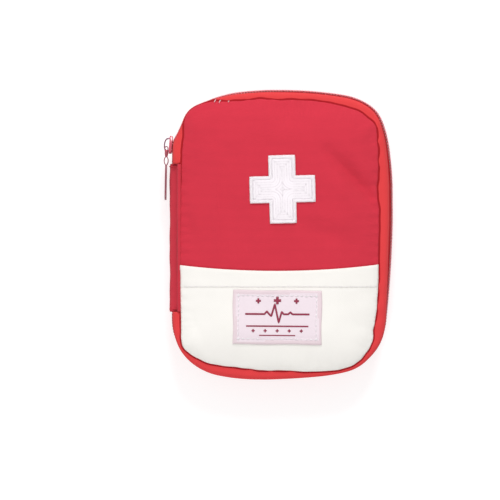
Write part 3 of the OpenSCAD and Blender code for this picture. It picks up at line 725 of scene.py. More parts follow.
OUTER = {"weave": "Rib weave", "depth": 0.09, "shade": 0.34, "sizes": {"Rib": 0.55, "Thread": 0.4}}
TWILL = {"weave": "Herringbone", "depth": 0.05, "shade": 0.14, "drift": 0.05, "uv": True,
         "sizes": {"Pitch": 0.8, "Band": 1.6}}
FINISHES = {
    "crimson_cloth": lambda c: cloth("Crimson cloth", c.crimson, drift=0.05, **OUTER),
    "spine_cloth": lambda c: cloth("Spine cloth", c.spine, drift=0.06, **OUTER),
    # seam cloth: darker crimson, painted shade in the seam groove
    "seam_cloth": lambda c: cloth("Seam cloth", c.seam, "Plain weave", 0.05, 0.2, 0.08),
    "zip_tape": lambda c: cloth("Zip tape", c.tape, sheen=0.04, **TWILL),
    "zip_coil": coil_plastic,
    "cream_cloth": lambda c: cloth("Cream cloth", c.cream, "Plain weave", 0.05, 0.07, 0.02,
                                   sizes={"Thread": 0.42}),
    "cross_fill": embroidery,
    "cross_border": lambda c: threads("Satin stitch", srgb(253, 247, 251), 0.6, 0.22, shade=0.0),
    "white_thread": lambda c: threads("White thread", srgb(250, 246, 248), 0.5, 0.3),
    # darker tape cloth: painted shade where the tape runs under its shoulder
    "tape_edge_shade": lambda c: cloth("Tape edge", srgb(196, 30, 40), sheen=0.0, **TWILL),
    "red_thread": lambda c: threads("Red thread", srgb(176, 34, 46), 0.5, 0.3),
    "label_weave": lambda c: cloth("Label weave", c.label, "Plain weave", 0.03, 0.08, 0.03,
                                   sizes={"Thread": 0.24, "Slub": 0.15}, rough=0.75),
    "label_edge": lambda c: cloth("Label edge", srgb(232, 213, 219), "Plain weave", 0.04, 0.14, 0.05,
                                  sizes={"Thread": 0.3, "Slub": 0.15}, rough=0.8),
    "label_motif": lambda c: threads("Motif thread", c.motif, 0.6, 0.26),
    "slider_paint": lambda c: paint("Slider paint", c.paint, 0.3, 0.8),
    "puller_paint": lambda c: paint("Puller paint", c.puller, 0.36, 0.5, wear=srgb(190, 140, 146)),
    "bail_metal": lambda c: brushed("Bail metal", c.bail, 0.2, (0.5, 0.5, 0.5)),
    "lining_cloth": lambda c: cloth("Lining cloth", c.lining, "Plain weave", 0.03, 0.1, 0.04,
                                    sizes={"Thread": 0.3, "Slub": 0.2}, rough=0.6, sheen=0.25),
    "binding": lambda c: ribbed("Binding", srgb(196, 46, 60), 0.5, 0.1, rough=0.8),
    "net": lambda c: cloth("Net cord", srgb(243, 243, 245), "Plain weave", 0.02, 0.1, 0.02,
                           sizes={"Thread": 0.2}, rough=0.6),
    "elastic": lambda c: ribbed("Elastic", srgb(66, 66, 72), 0.9, 0.25),
    "bandage": lambda c: ribbed("Crepe bandage", srgb(246, 240, 226), 0.8, 0.3, shade=0.2),
    "plaster_tape": lambda c: paper("Plaster tape", srgb(238, 226, 206), 0.04, 0.75, 0.5, 0.04),
    "card": lambda c: paper("Card core", srgb(196, 160, 116), 0.03, 0.85, 0.9, 0.12),
    "packet_paper": lambda c: paper("Packet paper", srgb(245, 246, 248), 0.09, 0.6, 0.14, 0.03),
    "print_blue": lambda c: paper("Printed band", srgb(96, 150, 190), 0.05, 0.55, 0.14, 0.05),
    "sachet_foil": lambda c: foil(),
    "steel": lambda c: brushed("Steel", srgb(206, 208, 212), 0.22),
    "plaster_wrapper": lambda c: paper("Plaster wrapper", srgb(240, 229, 212), 0.07, 0.55, 0.2, 0.03),
    "pad_tan": lambda c: cloth("Plaster", srgb(214, 170, 134), "Plain weave", 0.03, 0.1, 0.03,
                               sizes={"Thread": 0.5}),
}


# ---- Geometry node trees ---------------------------------------------------------

def node_tree_for(name, ins):
    return new_tree(name, "GeometryNodeTree", [("Geometry", "Geometry", None)] + ins,
                    [("Geometry", "Geometry")])


def row_tree():
    """Repeats a piece along a path, its length with the path and its top along 'out'."""
    g, t, i, o = node_tree_for("Row along a path", [
        ("Piece", "Object", None), ("Count", "Int", 10), ("Unevenness", "Float", 0.0),
        ("Turn", "Float", 0.0), ("Seed", "Int", 1), ("Material", "Material", None)])
    curve = t.node("GeometryNodeMeshToCurve", {"Mesh": i["Geometry"]})
    pts = t.node("GeometryNodeResampleCurve", {"Curve": curve, "Count": i["Count"]})
    out = t.node("GeometryNodeInputNamedAttribute", {"Name": "out"}, data_type="FLOAT_VECTOR")
    flat = t.node("FunctionNodeAlignRotationToVector", {"Vector": t.node("GeometryNodeInputTangent")},
                  axis="X")
    up = t.node("FunctionNodeAlignRotationToVector",
                {"Rotation": flat, "Vector": out.outputs["Attribute"]}, axis="Z", pivot_axis="X")
    spread = t.mul(i["Unevenness"], -1.0)
    size = t.node("FunctionNodeRandomValue", {2: t.add(1.0, spread),
                                              3: t.sub(1.0, spread), "Seed": i["Seed"]})
    lean = t.node("FunctionNodeRandomValue", {2: t.mul(i["Turn"], -1.0), 3: i["Turn"],
                                              "Seed": t.add(i["Seed"], 5.0)})
    axis = t.node("ShaderNodeCombineXYZ", {"Z": lean.outputs[1]})
    leant = t.node("FunctionNodeRotateRotation", {"Rotation": up, "Rotate By": axis},
                   rotation_space="LOCAL")
    piece = t.node("GeometryNodeObjectInfo", {"Object": i["Piece"]}).outputs["Geometry"]
    inst = t.node("GeometryNodeInstanceOnPoints", {"Points": pts, "Instance": piece, "Rotation": leant,
                                                   "Scale": size.outputs[1]})
    real = t.node("GeometryNodeRealizeInstances", {"Geometry": inst})
    t.put(o["Geometry"], t.node("GeometryNodeSetMaterial", {"Geometry": real, "Material": i["Material"]}))
    return g


def strand_tree():
    """Gives every edge of a mesh the thickness of a cord."""
    g, t, i, o = node_tree_for("Strands", [("Radius", "Float", 0.0002), ("Sides", "Int", 4),
                                           ("Material", "Material", None)])
    curve = t.node("GeometryNodeMeshToCurve", {"Mesh": i["Geometry"]})
    ring = t.node("GeometryNodeCurvePrimitiveCircle", {"Resolution": i["Sides"], "Radius": i["Radius"]})
    tube = t.node("GeometryNodeCurveToMesh", {"Curve": curve, "Profile Curve": ring, "Fill Caps": True})
    real = t.node("GeometryNodeRealizeInstances", {"Geometry": tube})
    t.put(o["Geometry"], t.node("GeometryNodeSetMaterial", {"Geometry": real, "Material": i["Material"]}))
    return g


def grown(ob, tree, **values):
    """Runs a node tree on an object with named inputs, and leaves a plain mesh."""
    g = bpy.data.node_groups.get(tree) or {"Row along a path": row_tree, "Strands": strand_tree}[tree]()
    m = ob.modifiers.new(tree, "NODES")
    m.node_group = g
    ids = {s.name: s.identifier for s in g.interface.items_tree
           if s.item_type == "SOCKET" and s.in_out == "INPUT"}
    for k, v in values.items():
        m[ids[k]] = v
    settled(ob)
    if len(ob.data.polygons) == 0:
        raise RuntimeError(f"{ob.name}: {tree} made nothing")
    ob.data.polygons.foreach_set("use_smooth", [True] * len(ob.data.polygons))
    return ob


def wires(name, pts, edges):
    """An object of bare edges between points in millimetres."""
    me = bpy.data.meshes.new(name)
    me.from_pydata((np.asarray(pts, float) * MM).tolist(), edges, [])
    return linked(name, me)


def row(name, piece, pts, outs, count, material, closed=False, uneven=0.0, turn=0.0):
    """A row of copies of a piece, used up in it, along points in millimetres, tops towards outs."""
    n = len(pts)
    ob = wires(name, pts, [(k, k + 1) for k in range(n - 1)] + ([(n - 1, 0)] if closed else []))
    a = ob.data.attributes.new("out", "FLOAT_VECTOR", "POINT")
    a.data.foreach_set("vector", np.broadcast_to(np.asarray(outs, float), (n, 3)).ravel())
    grown(ob, "Row along a path", Piece=piece, Count=int(count), Unevenness=uneven, Turn=turn,
          Seed=bpy.context.scene.sewing_sizes.seed, Material=stuff(material))
    bpy.data.objects.remove(piece)
    return ob


def tube(name, pts, radius, material, sides=6, squash=1.0):
    """A closed tube through points in millimetres; the radius may change along it."""
    P = np.asarray(pts, float)
    r = np.broadcast_to(np.asarray(radius, float), (len(P),))
    T = np.gradient(P, axis=0)
    T /= np.linalg.norm(T, axis=1)[:, None]
    ref = np.array([0, 0, 1.0]) if abs(T[:, 2]).max() < 0.9 else np.array([0.0, 1.0, 0.02])
    B = np.cross(T, ref)
    B /= np.linalg.norm(B, axis=1)[:, None]
    N = np.cross(B, T)
    w = all_round(sides)
    ring = P[:, None] + r[:, None, None] * (np.cos(w)[None, :, None] * B[:, None]
                                            + squash * np.sin(w)[None, :, None] * N[:, None])
    v, f = grid(ring, close_v=True)
    last = (len(P) - 1) * sides
    caps = [list(range(sides))[::-1], [last + k for k in range(sides)]]
    return outward(mesh_object(name, v, f.tolist() + caps, material,
                               pattern_of(run(P), w * r.mean()).reshape(-1, 2)))


def stitch_piece(long, wide, tall):
    """One stitch of thread, domed at both ends, lying along X."""
    x = np.linspace(-long / 2, long / 2, 5)
    lift = tall * 0.5 * (1 - (2 * x / long) ** 2)
    r = wide / 2 * np.sqrt(np.clip(1.12 - (2 * x / long) ** 2, 0.08, 1))
    return tube("stitch_piece", np.stack([x, 0 * x, lift], -1), r, None, 5)


def sewn(name, size, pts, outs, count, thread, **how):
    """A seam of stitches, each of the size long, wide and tall."""
    return row(name, stitch_piece(*size), pts, outs, count, thread, **how)


WORK = {}


# ---- Padded front ----------------------------------------------------------------

# Soft creases of the front: from x, y to x, y, depth and breadth, in millimetres
CREASES = [(23, 41, 48, 14, -2.5, 3.5), (30, 45, 51, 23, 0.5, 3.5), (18, 34, 40, 10, 0.5, 4.0),
           (9, 4, 36, -5, -0.85, 4.5), (10, 12, 40, 5, 0.35, 4.0), (-46, 58, -34, 64, -0.5, 3.0),
           (-50, 20, -44, -8, -0.4, 3.0), (44, 6, 49, -14, -0.25, 2.6), (-20, 66, 8, 64.5, -0.2, 2.6)]
# The same for the pocket
POCKET_CREASES = [(-46, -40, -38, -58, -0.35, 2.4), (-30, -68, -18, -62, -0.3, 2.5),
                  (12, -70, 16, -58, -0.3, 2.2), (40, -60, 47, -50, -0.35, 2.4),
                  (28, -35, 46, -30, -0.2, 3.0), (-44, -30, -28, -34, -0.2, 3.0)]
RIM_Z = 22.4                         # height of the front's rim
ABOVE = 0.06                         # where the height finder looks down from, in metres


def creases(x, y, marks):
    """Height that creases of such a list add to points."""
    z = np.zeros_like(x)
    for x0, y0, x1, y1, depth, wide in marks:
        dx, dy = x1 - x0, y1 - y0
        t = ((x - x0) * dx + (y - y0) * dy) / (dx * dx + dy * dy)
        c = np.clip(t, 0, 1)
        d = np.hypot(x - x0 - c * dx, y - y0 - c * dy)
        z += depth * np.exp(-(d / wide) ** 2) * (0.35 + 0.65 * np.sin(np.pi * np.clip(t, 0.02, 0.98)))
    return z


def drift(x, y):
    """A slow unevenness of hand-sewn padding."""
    return (0.12 * np.sin(x / 8.3 + 1.2) * np.sin(y / 11.1) + 0.1 * np.sin((x + y) / 6.1 + 0.6)
            + 0.08 * np.sin((x - 1.7 * y) / 9.7 + 2.0))


def puckers(s, r):
    """Small gathers that stand across a seam."""
    wave = np.sin(s / 0.86 + 1.3 * np.sin(s / 9.1)) * (0.6 + 0.4 * np.sin(s / 17.0 + 1.0))
    return 0.3 * wave * np.exp(-r / 3.6) * np.clip(r / 0.6, 0, 1)


def filled(rim, inner):
    """Triangles over a flat outline with the given inner points."""
    n = len(rim)
    pts = [Vector(p) for p in np.concatenate([rim, inner]).tolist()]
    v, _, f, *_ = delaunay_2d_cdt(pts, [], [list(range(n))], 1, 1e-5)
    return np.array([tuple(p) for p in v]), [tuple(q) for q in f]


def hexes(x0, x1, y0, y1, step):
    """A grid of equal triangles' corners, its rows 0.866 steps apart."""
    rows = np.arange(y0, y1, step * 0.866)
    return np.array([(x + (step / 2 if k % 2 else 0), y) for k, y in enumerate(rows)
                     for x in np.arange(x0, x1, step)])


def held_cloth(ob, rim, slack, k=20.0, frames=20):
    """Lets the sheet settle as cloth held round its rim, at k times its size."""
    scene = bpy.context.scene
    ob.data.transform(Matrix.Scale(k, 4))
    pin = ob.vertex_groups.new(name="Held")
    pin.add([int(q) for q in rim], 1.0, "REPLACE")
    loose = ob.vertex_groups.new(name="Slack")
    for j, w in enumerate(slack):
        loose.add([j], float(w), "REPLACE")
    m = ob.modifiers.new("Cloth", "CLOTH")
    c = m.settings
    c.quality, c.mass, c.air_damping = 7, 0.3, 2.0
    c.tension_stiffness = c.compression_stiffness = 18.0
    c.shear_stiffness, c.bending_stiffness = 8.0, 0.6
    c.vertex_group_mass = "Held"
    c.shrink_min, c.shrink_max, c.vertex_group_shrink = 0.0, -0.035, "Slack"
    c.use_pressure, c.uniform_pressure_force = True, 0.8
    c.effector_weights.gravity = 0.0
    m.collision_settings.use_self_collision = False
    m.point_cache.frame_start, m.point_cache.frame_end = 1, frames
    for f in range(1, frames + 1):
        scene.frame_set(f)
    settled(ob)
    scene.frame_set(1)
    ob.vertex_groups.clear()
    ob.data.transform(Matrix.Scale(1 / k, 4))
    return ob


def points_of(ob):
    co = np.empty(len(ob.data.vertices) * 3)
    ob.data.vertices.foreach_get("co", co)
    return co.reshape(-1, 3) / MM


def move_points(ob, P):
    ob.data.vertices.foreach_set("co", (P * MM).ravel())
    ob.data.update()


def surface_of(*obs):
    """A height finder over the given pieces."""
    bm = bmesh.new()
    for o in obs:
        bm.from_mesh(o.data)
    tree = BVHTree.FromBMesh(bm)
    bm.free()

    def height(x, y):
        out = np.empty(len(x))
        for k, (a, b) in enumerate(zip(x, y)):
            hit = tree.ray_cast(Vector((a * MM, b * MM, ABOVE)), Vector(DOWN))
            if hit[0] is None:
                hit = tree.find_nearest(Vector((a * MM, b * MM, RIM_Z * MM)))
            out[k] = hit[0].z / MM
        return out
    return height


def pad_height(r, crown):
    """Height of the padded front at a distance inside its seam."""
    return RIM_Z + crown * (1 - np.clip(1 - r / 48, 0, 1) ** 8)


def build_front(scene):
    """The padded front, which settles as cloth and then gets its creases and gathers."""
    shape, line = scene.pouch_shape, WORK["line"]
    s = np.arange(0, line.total, 1.2)
    rim, _ = line.at(s, line.seam(s) + 0.25)
    inner = hexes(-56, 56, -73, 73, shape.mesh_step * 1000)
    inner = inner[(line.from_seam(inner)[1] > 0.9) & inside(inner, rim)]
    flat, faces = filled(rim, inner)
    r = np.clip(line.from_seam(flat)[1], 0, None)
    r[:len(rim)] = 0
    start = at_height(flat, pad_height(r, shape.crown * 1000 - 0.5))
    ob = mesh_object("front_pad", start, faces, "crimson_cloth")
    held_cloth(ob, np.where(r < 0.01)[0], np.exp(-r / 7.0))
    P = points_of(ob)
    move = P - start
    size = np.linalg.norm(move, axis=1)
    print("cloth moved the front by up to %.2f mm, on average %.2f" % (size.max(), size.mean()))
    move *= (np.minimum(size, 1.2) / np.maximum(size, 1e-9))[:, None]
    move_points(ob, start + move)
    subdivided(ob)
    P = points_of(ob)
    x, y, _ = P.T
    at, r = line.from_seam(P[:, :2])
    r = np.clip(r, 0, None)
    P[:, 2] += np.clip(r / 4, 0, 1) * (creases(x, y, CREASES) + drift(x, y))
    P[:, 2] += puckers(at, r)
    move_points(ob, P)
    close_under(ob, 21.5)
    WORK["front"] = ob
    finish(ob, "lid", "crimson_cloth", "front_panel", "front_foam")
    WORK["front_z"] = surface_of(ob)


def inside(pts, outline):
    """Which points lie within a closed outline."""
    x, y = pts[:, 0], pts[:, 1]
    a, b = outline, np.roll(outline, -1, 0)
    odd = np.zeros(len(pts), bool)
    for (x0, y0), (x1, y1) in zip(a, b):
        if y0 == y1:
            continue
        cross = ((y0 > y) != (y1 > y)) & (x < (x1 - x0) * (y - y0) / (y1 - y0) + x0)
        odd ^= cross
    return odd


def close_under(ob, z):
    """Turns the rim under and closes it with a flat face."""
    bm = bmesh.new()
    bm.from_mesh(ob.data)
    rim = [e for e in bm.edges if e.is_boundary]
    for depth, drawn in ((0.35, 0.0), (0.9, 0.45)):
        made = bmesh.ops.extrude_edge_only(bm, edges=rim)["geom"]
        rim = [e for e in made if isinstance(e, bmesh.types.BMEdge) and e.is_boundary]
        for v in {v for e in rim for v in e.verts}:
            k = 1 - drawn / math.hypot(v.co.x / MM, v.co.y / MM)
            v.co.x, v.co.y = v.co.x * k, v.co.y * k
            v.co.z = max(v.co.z - depth * MM, z * MM)
    bmesh.ops.holes_fill(bm, edges=rim, sides=0)
    bmesh.ops.triangulate(bm, faces=[f for f in bm.faces if len(f.verts) > 4])
    bmesh.ops.recalc_face_normals(bm, faces=bm.faces)
    for f in bm.faces:
        f.smooth = True
    bm.to_mesh(ob.data)
    bm.free()


# ---- Pocket, hem, cross and label --------------------------------------------------

def mouth(x):
    """Height of the pocket's mouth across the front."""
    return -18.9 + 3.15 * (x / 51) ** 2 + 0.35 * x / 51


def seam_sides(line, y):
    """The front seam's left and right x at a height, from the middle downwards."""
    out = []
    for s in (np.arange(line.total - 130, line.total), np.arange(line.total * 0.5, 345)):
        p, _ = line.at(s, line.seam(s))
        k = np.argsort(p[:, 1])
        out.append(np.interp(y, p[k, 1], p[k, 0]))
    return out


def lift_over(r, flat):
    """A layer stands off the front, and is pinched where it meets the seam."""
    return 0.16 + (flat - 0.16) * (1 - np.exp(-np.clip(r, 0, None) / 1.3))


def build_groove(scene):
    """The gathered seam allowance between the front and the zip, in a dark cloth colour that paints the seam
    line's shade.
    """
    line = WORK["line"]
    s = np.arange(0, line.total, 0.9)
    seam, dent = line.seam(s), line.dip(s)
    rings = [at_height(line.at(s, np.maximum(seam + d, dent + 0.9))[0], z)
             for d, z in ((-1.1, 20.9), (-0.5, 21.7), (0.3, 21.9), (1.2, 21.6))]
    ob = strip("seam_groove", np.stack(rings, 1), "seam_cloth", close_u=True)
    finish(outward(thick(ob, 0.3, -1.0, False)), "lid", "seam_cloth")


def spread_inside(rim, box, step, gap):
    """A triangular grid of points within an outline, at least a gap away from it."""
    p = hexes(*box, step)
    near = np.concatenate([np.sqrt(((c[:, None] - rim[None]) ** 2).sum(-1)).min(1)
                           for c in np.array_split(p, 20)])
    return p[inside(p, rim) & (near > gap)]


def build_pocket(scene):
    """The slip pocket over the lower third of the front."""
    line, front_z = WORK["line"], WORK["front_z"]
    s = np.arange(line.total * 0.5, line.total, 1.2)
    p, _ = line.at(s, line.seam(s) + 0.12)
    low = p[p[:, 1] < mouth(p[:, 0]) - 0.4]
    x = np.linspace(low[-1, 0], low[0, 0], 92)
    rim = np.concatenate([low, points(x, mouth(x))])
    flat, faces = filled(rim, spread_inside(rim, (-54, 54, -73, -14), 1.3, 0.8))
    x, y = flat.T
    r = line.from_seam(flat)[1]
    under = front_z(x, y)
    z = under + lift_over(r, 0.85)
    z += np.clip(r / 3, 0, 1) * (creases(x, y, POCKET_CREASES) * 0.8 + 0.5 * drift(x + 31, y)
                                 + 0.14 * np.exp(-(mouth(x) - y) / 4) * np.sin(x / 6.3))
    z = np.maximum(z, under + 0.1)
    ob = upward(mesh_object("pocket_cloth", at_height(flat, z), faces, "cream_cloth", flat))
    thick(subdivided(ob), 0.35, -1.0)
    finish(ob, "lid", "cream_cloth", "front_pocket")
    WORK["pocket"] = ob
    WORK["top_z"] = surface_of(WORK["front"], ob)


def build_hem(scene):
    """The folded band along the pocket's mouth."""
    line, top = WORK["line"], WORK["top_z"]
    u = np.linspace(0, 1, 150)
    ends = 1 - np.exp(-np.minimum(u, 1 - u) * 100 / 1.2)
    rows = []
    for v, lift in ((1.6, -0.42), (0.3, -0.5), (-0.28, -0.32), (-0.5, 0.0), (-0.3, 0.34), (0.4, 0.5),
                    (1.4, 0.44), (2.8, 0.38), (4.4, 0.34), (6.0, 0.32), (7.4, 0.3), (8.15, 0.22),
                    (8.5, 0.04)):
        left, right = seam_sides(line, -16.5 - v)
        x = left + 0.2 + (right - left - 0.4) * u
        down = v if v <= 0.5 else 0.5 + (v - 0.5) / 8.0 * (mouth(x) + 26.9 - 0.5)
        rows.append(points(x, mouth(x) - down, top(x, mouth(x) - np.maximum(down, 0.5))
                           + (lift - 0.02) * (0.25 + 0.75 * ends)))
    P = np.stack(rows, 1)
    ob = thick(upward(strip("hem_fold", P, "cream_cloth", P[..., :2])), 0.3, -1.0)
    finish(ob, "lid", "cream_cloth", "pocket_hem")
    x = np.linspace(-48, 46.5, 200)
    y = -26.1 + 0.12 * np.sin(x / 7.0)
    z = surface_of(WORK["front"], WORK["pocket"], ob)
    WORK["top_z"] = z
    finish(sewn("pocket_hem_stitches", (1.9, 0.26, 0.18), points(x, y, z(x, y) + 0.02), UP, 38,
                "white_thread"), "lid", "cream_cloth")


CROSS = (32.8, 34.0, 13.4)           # the cross's width, height and breadth of arm
ROWS = 1.26                          # from one row of its embroidery to the next


def turned(degrees):
    """What turns flat points counter-clockwise, as rows times a matrix."""
    c, s = math.cos(math.radians(degrees)), math.sin(math.radians(degrees))
    return np.array([[c, s], [-s, c]])


def plus_outline(inset=0.0):
    """The cross's corners, drawn in by a distance."""
    w, h, a = (size / 2 - inset for size in CROSS)
    p = np.array([(a, h), (-a, h), (-a, a), (-w, a), (-w, -a), (-a, -a), (-a, -h), (a, -h),
                  (a, -a), (w, -a), (w, a), (a, a)])
    return p @ turned(1.5) + sum(corners("cross_border"))[:2] / 2 - (0, 0.5)


def dense(bends, step, closed=True):
    """Points at about equal steps along a run of corners."""
    out = []
    n = len(bends)
    for k in range(n if closed else n - 1):
        a, b = bends[k], bends[(k + 1) % n]
        m = max(1, int(round(np.linalg.norm(b - a) / step)))
        out += [a + (b - a) * j / m for j in range(m)]
    if not closed:
        out.append(bends[-1])
    return np.array(out)


def edge_distance(pts, outline):
    """Distance of points from a closed outline, and how far along it the nearest place lies."""
    d, along = np.full(len(pts), 1e9), np.zeros(len(pts))
    passed = 0.0
    for a, b in zip(outline, np.roll(outline, -1, 0)):
        e = b - a
        t = np.clip(((pts - a) @ e) / (e @ e), 0, 1)
        q = np.hypot(*(pts - a - t[:, None] * e).T)
        near = q < d
        d[near], along[near] = q[near], passed + t[near] * np.linalg.norm(e)
        passed += np.linalg.norm(e)
    return d, along


def build_cross(scene):
    """The cross: embroidery in rows that follow its edge, and a border of satin stitches."""
    z_at = WORK["front_z"]
    out = plus_outline(1.5)
    inner = hexes(-20, 20, 3, 43, 0.75)
    inner = inner[inside(inner, out) & (edge_distance(inner, out)[0] > 0.45)]
    flat, faces = filled(dense(out, 0.7), inner)
    x, y = flat.T
    d, along = edge_distance(flat, out)
    wander = 0.25 * np.sin(x / 2.3) * np.sin(y / 2.9)
    rows = np.abs(np.sin((d + wander) * math.pi / ROWS))
    z = z_at(x, y) + 0.72 + 0.1 * rows * np.clip(d / 0.6, 0, 1)
    ob = upward(mesh_object("cross_embroidery", at_height(flat, z), faces, "cross_fill", points(d, along)))
    finish(thick(ob, 0.38, -1.0), "lid", "cross_fill", "cross_fill")
    base = plus_outline()
    steps = [max(2, int(np.linalg.norm(b - a) / 0.7)) for a, b in zip(base, np.roll(base, -1, 0))]
    loops = []
    for inset, lift in ((0.0, 0.05), (0.12, 0.5), (0.5, 0.72), (0.95, 0.78), (1.4, 0.74), (1.75, 0.62),
                        (1.85, 0.3)):
        c = plus_outline(inset)
        pts = np.concatenate([a + (b - a) * (np.arange(n) / n)[:, None]
                              for a, b, n in zip(c, np.roll(c, -1, 0), steps)])
        loops.append(at_height(pts, z_at(*pts.T) + lift))
    P = np.stack(loops, 1)
    core = outward(strip("cross_border_core", P, "cross_border", P[..., :2], close_u=True, close_v=True))
    path = dense(plus_outline(0.88), 0.5)
    long = np.linalg.norm(np.roll(path, -1, 0) - path, axis=1).sum()
    bar = stitch_piece(1.95, 0.36, 0.1)
    bar.data.transform(Matrix.Rotation(math.pi / 2, 4, "Z"))
    satin = row("cross_satin_rows", bar, at_height(path, z_at(*path.T) + 0.74), UP,
                long / (scene.sewing_sizes.satin * 1000), "cross_border", closed=True,
                uneven=0.07, turn=0.12)
    finish(joined("cross_satin", core, satin), "lid", "cross_border", "cross_border")


LABEL_WIDE, LABEL_TALL = 44.3, 27.0
STITCH_IN = 2.7                      # the label's stitches, inside its edge


def label_frame():
    """From the label's own flat axes to the pouch."""
    centre = sum(corners("label_patch"))[:2] / 2
    return lambda p: np.asarray(p, float) @ turned(-0.5) + centre


def build_label(scene):
    """A woven patch, its sewn edge and a plain woven motif."""
    put, z_at = label_frame(), WORK["top_z"]
    w, h = LABEL_WIDE / 2, LABEL_TALL / 2
    u, v = (np.concatenate([[-a, -a + 0.15], np.linspace(-a + 0.6, a - 0.6, n), [a - 0.15, a]])
            for a, n in ((w, 60), (h, 38)))
    U, V = np.meshgrid(u, v, indexing="ij")
    x = U + 0.18 * np.sin(V / 3.7) * (np.abs(U) > w - 0.3) * np.sign(U)
    y = V + 0.14 * np.sin(U / 4.1) * (np.abs(V) > h - 0.3)
    xy = put(points(x.ravel(), y.ravel()))
    e = np.minimum(w - np.abs(U), h - np.abs(V)).ravel()
    z = z_at(xy[:, 0], xy[:, 1]) + 0.12 + 0.42 * np.clip(e / 0.3, 0, 1) ** 0.5
    z += 0.16 * np.exp(-((e - 0.8) / 0.6) ** 2) - 0.16 * np.exp(-((e - 2.9) / 0.5) ** 2)
    z += 0.1 * np.sin(U.ravel() / 5.1 + 0.4) * np.sin(V.ravel() / 4.3) * np.clip(e / 3, 0, 1)
    P = at_height(xy, z).reshape(*U.shape, 3)
    ob = strip("label_cloth", P, "label_weave", P[..., :2])
    ob.data.materials.append(stuff("label_edge"))
    centre = np.array([p.center for p in ob.data.polygons])[:, :2] / MM
    back = centre - put([[0, 0]])[0]
    for p, c in zip(ob.data.polygons, back):
        p.material_index = int(min(w - abs(c[0]), h - abs(c[1])) < 1.7)
    thick(upward(ob), 0.3, -1.0)
    finish(ob, "lid", "label_weave", "label_patch")
    z_label = surface_of(ob)

    parts = []
    x, y = w - STITCH_IN, h - STITCH_IN
    knots = [(-x, y), (x, y), (x, -y), (-x, -y)]
    for a, b in zip(knots, knots[1:] + knots[:1]):
        side = dense(np.array([a, b]), 1.0, closed=False)
        xy = put(side + 0.12 * np.sin(side[:, ::-1] / 3.3))
        parts.append(sewn("label_row", (1.75, 0.5, 0.36), at_height(xy, z_label(*xy.T) + 0.04), UP,
                          np.linalg.norm(np.array(b) - a) / 2.35 + 1, "white_thread", uneven=0.12, turn=0.05))
    finish(joined("label_stitches", *parts), "lid", "label_weave")

    def stroke(points, wide):
        xy = put(dense(np.array(points, float), 0.35, closed=False))
        return tube("stroke", at_height(xy, z_label(*xy.T) + 0.05), wide / 2, "label_motif",
                    squash=0.5)

    beat = [(-16, 1.6), (-6.4, 1.6), (-5.2, 3.0), (-4.1, 1.6), (-3.0, 0.6), (-1.3, 6.6), (0.7, -2.6),
            (2.2, 2.8), (3.2, 1.6), (5.4, 1.6), (6.5, 2.6), (7.6, 1.6), (16, 1.6)]
    marks = [stroke(beat, 0.95), stroke([(-15.5, -4.4), (15.5, -4.4)], 0.75),
             stroke([(-9, -9.0), (9, -9.0)], 0.55)]
    crosses = [(0, 8.4, 1.8, 1.4), (-9.5, 8.2, 1.25, 1.0), (9.5, 8.2, 1.25, 1.0)]
    for cx, cy, a, t in crosses + [(x, -6.7, 0.8, 0.65) for x in (-12, -6, 0, 6, 12)]:
        marks += [stroke([(cx - a, cy), (cx + a, cy)], t), stroke([(cx, cy - a), (cx, cy + a)], t)]
    finish(joined("label_motif", *marks), "lid", "label_weave")


# ---- Zip: tapes, teeth, slider and puller --------------------------------------------

TAPE_EDGE_Z, SHOULDER_Z = 13.95, 17.0    # the upper tape's free edge, and the foot of its shoulder


def free_edge(line, s):
    """How far inside the drawn-in line the tapes end."""
    return np.clip(line.shoulder(s) - 0.35, 0.85, 1.5)


def tape_surface(line, s, seam, wave):
    """The upper tape's outer face, from the seam over its shoulder to its free edge."""
    dip, top = line.dip(s), 21.3 + wave
    b = line.shoulder(s) + dip
    d = np.maximum(seam - 0.1, b + 0.1)
    q = [points(d + 0.6, top - 0.05), points(d + 0.2, top - 0.02)]
    for w in np.linspace(0, math.pi / 2, 11):
        q.append(points(b + (d - 0.2 - b) * (1 - math.sin(w) ** 0.5),
                        SHOULDER_Z + (top - SHOULDER_Z) * math.cos(w) ** 0.5))
    edge = points(free_edge(line, s) + dip, TAPE_EDGE_Z)
    q += [q[-1] + (edge - q[-1]) * t for t in (0.35, 0.7, 1.0)]
    P = np.stack([at_height(line.at(s, c[:, 0])[0], c[:, 1]) for c in q], 1)
    steps = np.linalg.norm(np.diff(np.stack(q, 1), axis=1), axis=2)
    across = np.concatenate([np.zeros((len(s), 1)), np.cumsum(steps, axis=1)], 1)
    return P, points(s[:, None], across)


def edge_shaded(ob, narrow):
    """The tape's narrow edge that carries the teeth gets a darker cloth: painted shade under the tape's
    shoulder.
    """
    ob.data.materials.append(stuff("tape_edge_shade"))
    for p in ob.data.polygons:
        p.material_index = int(narrow(p.center.z / MM))
    return ob


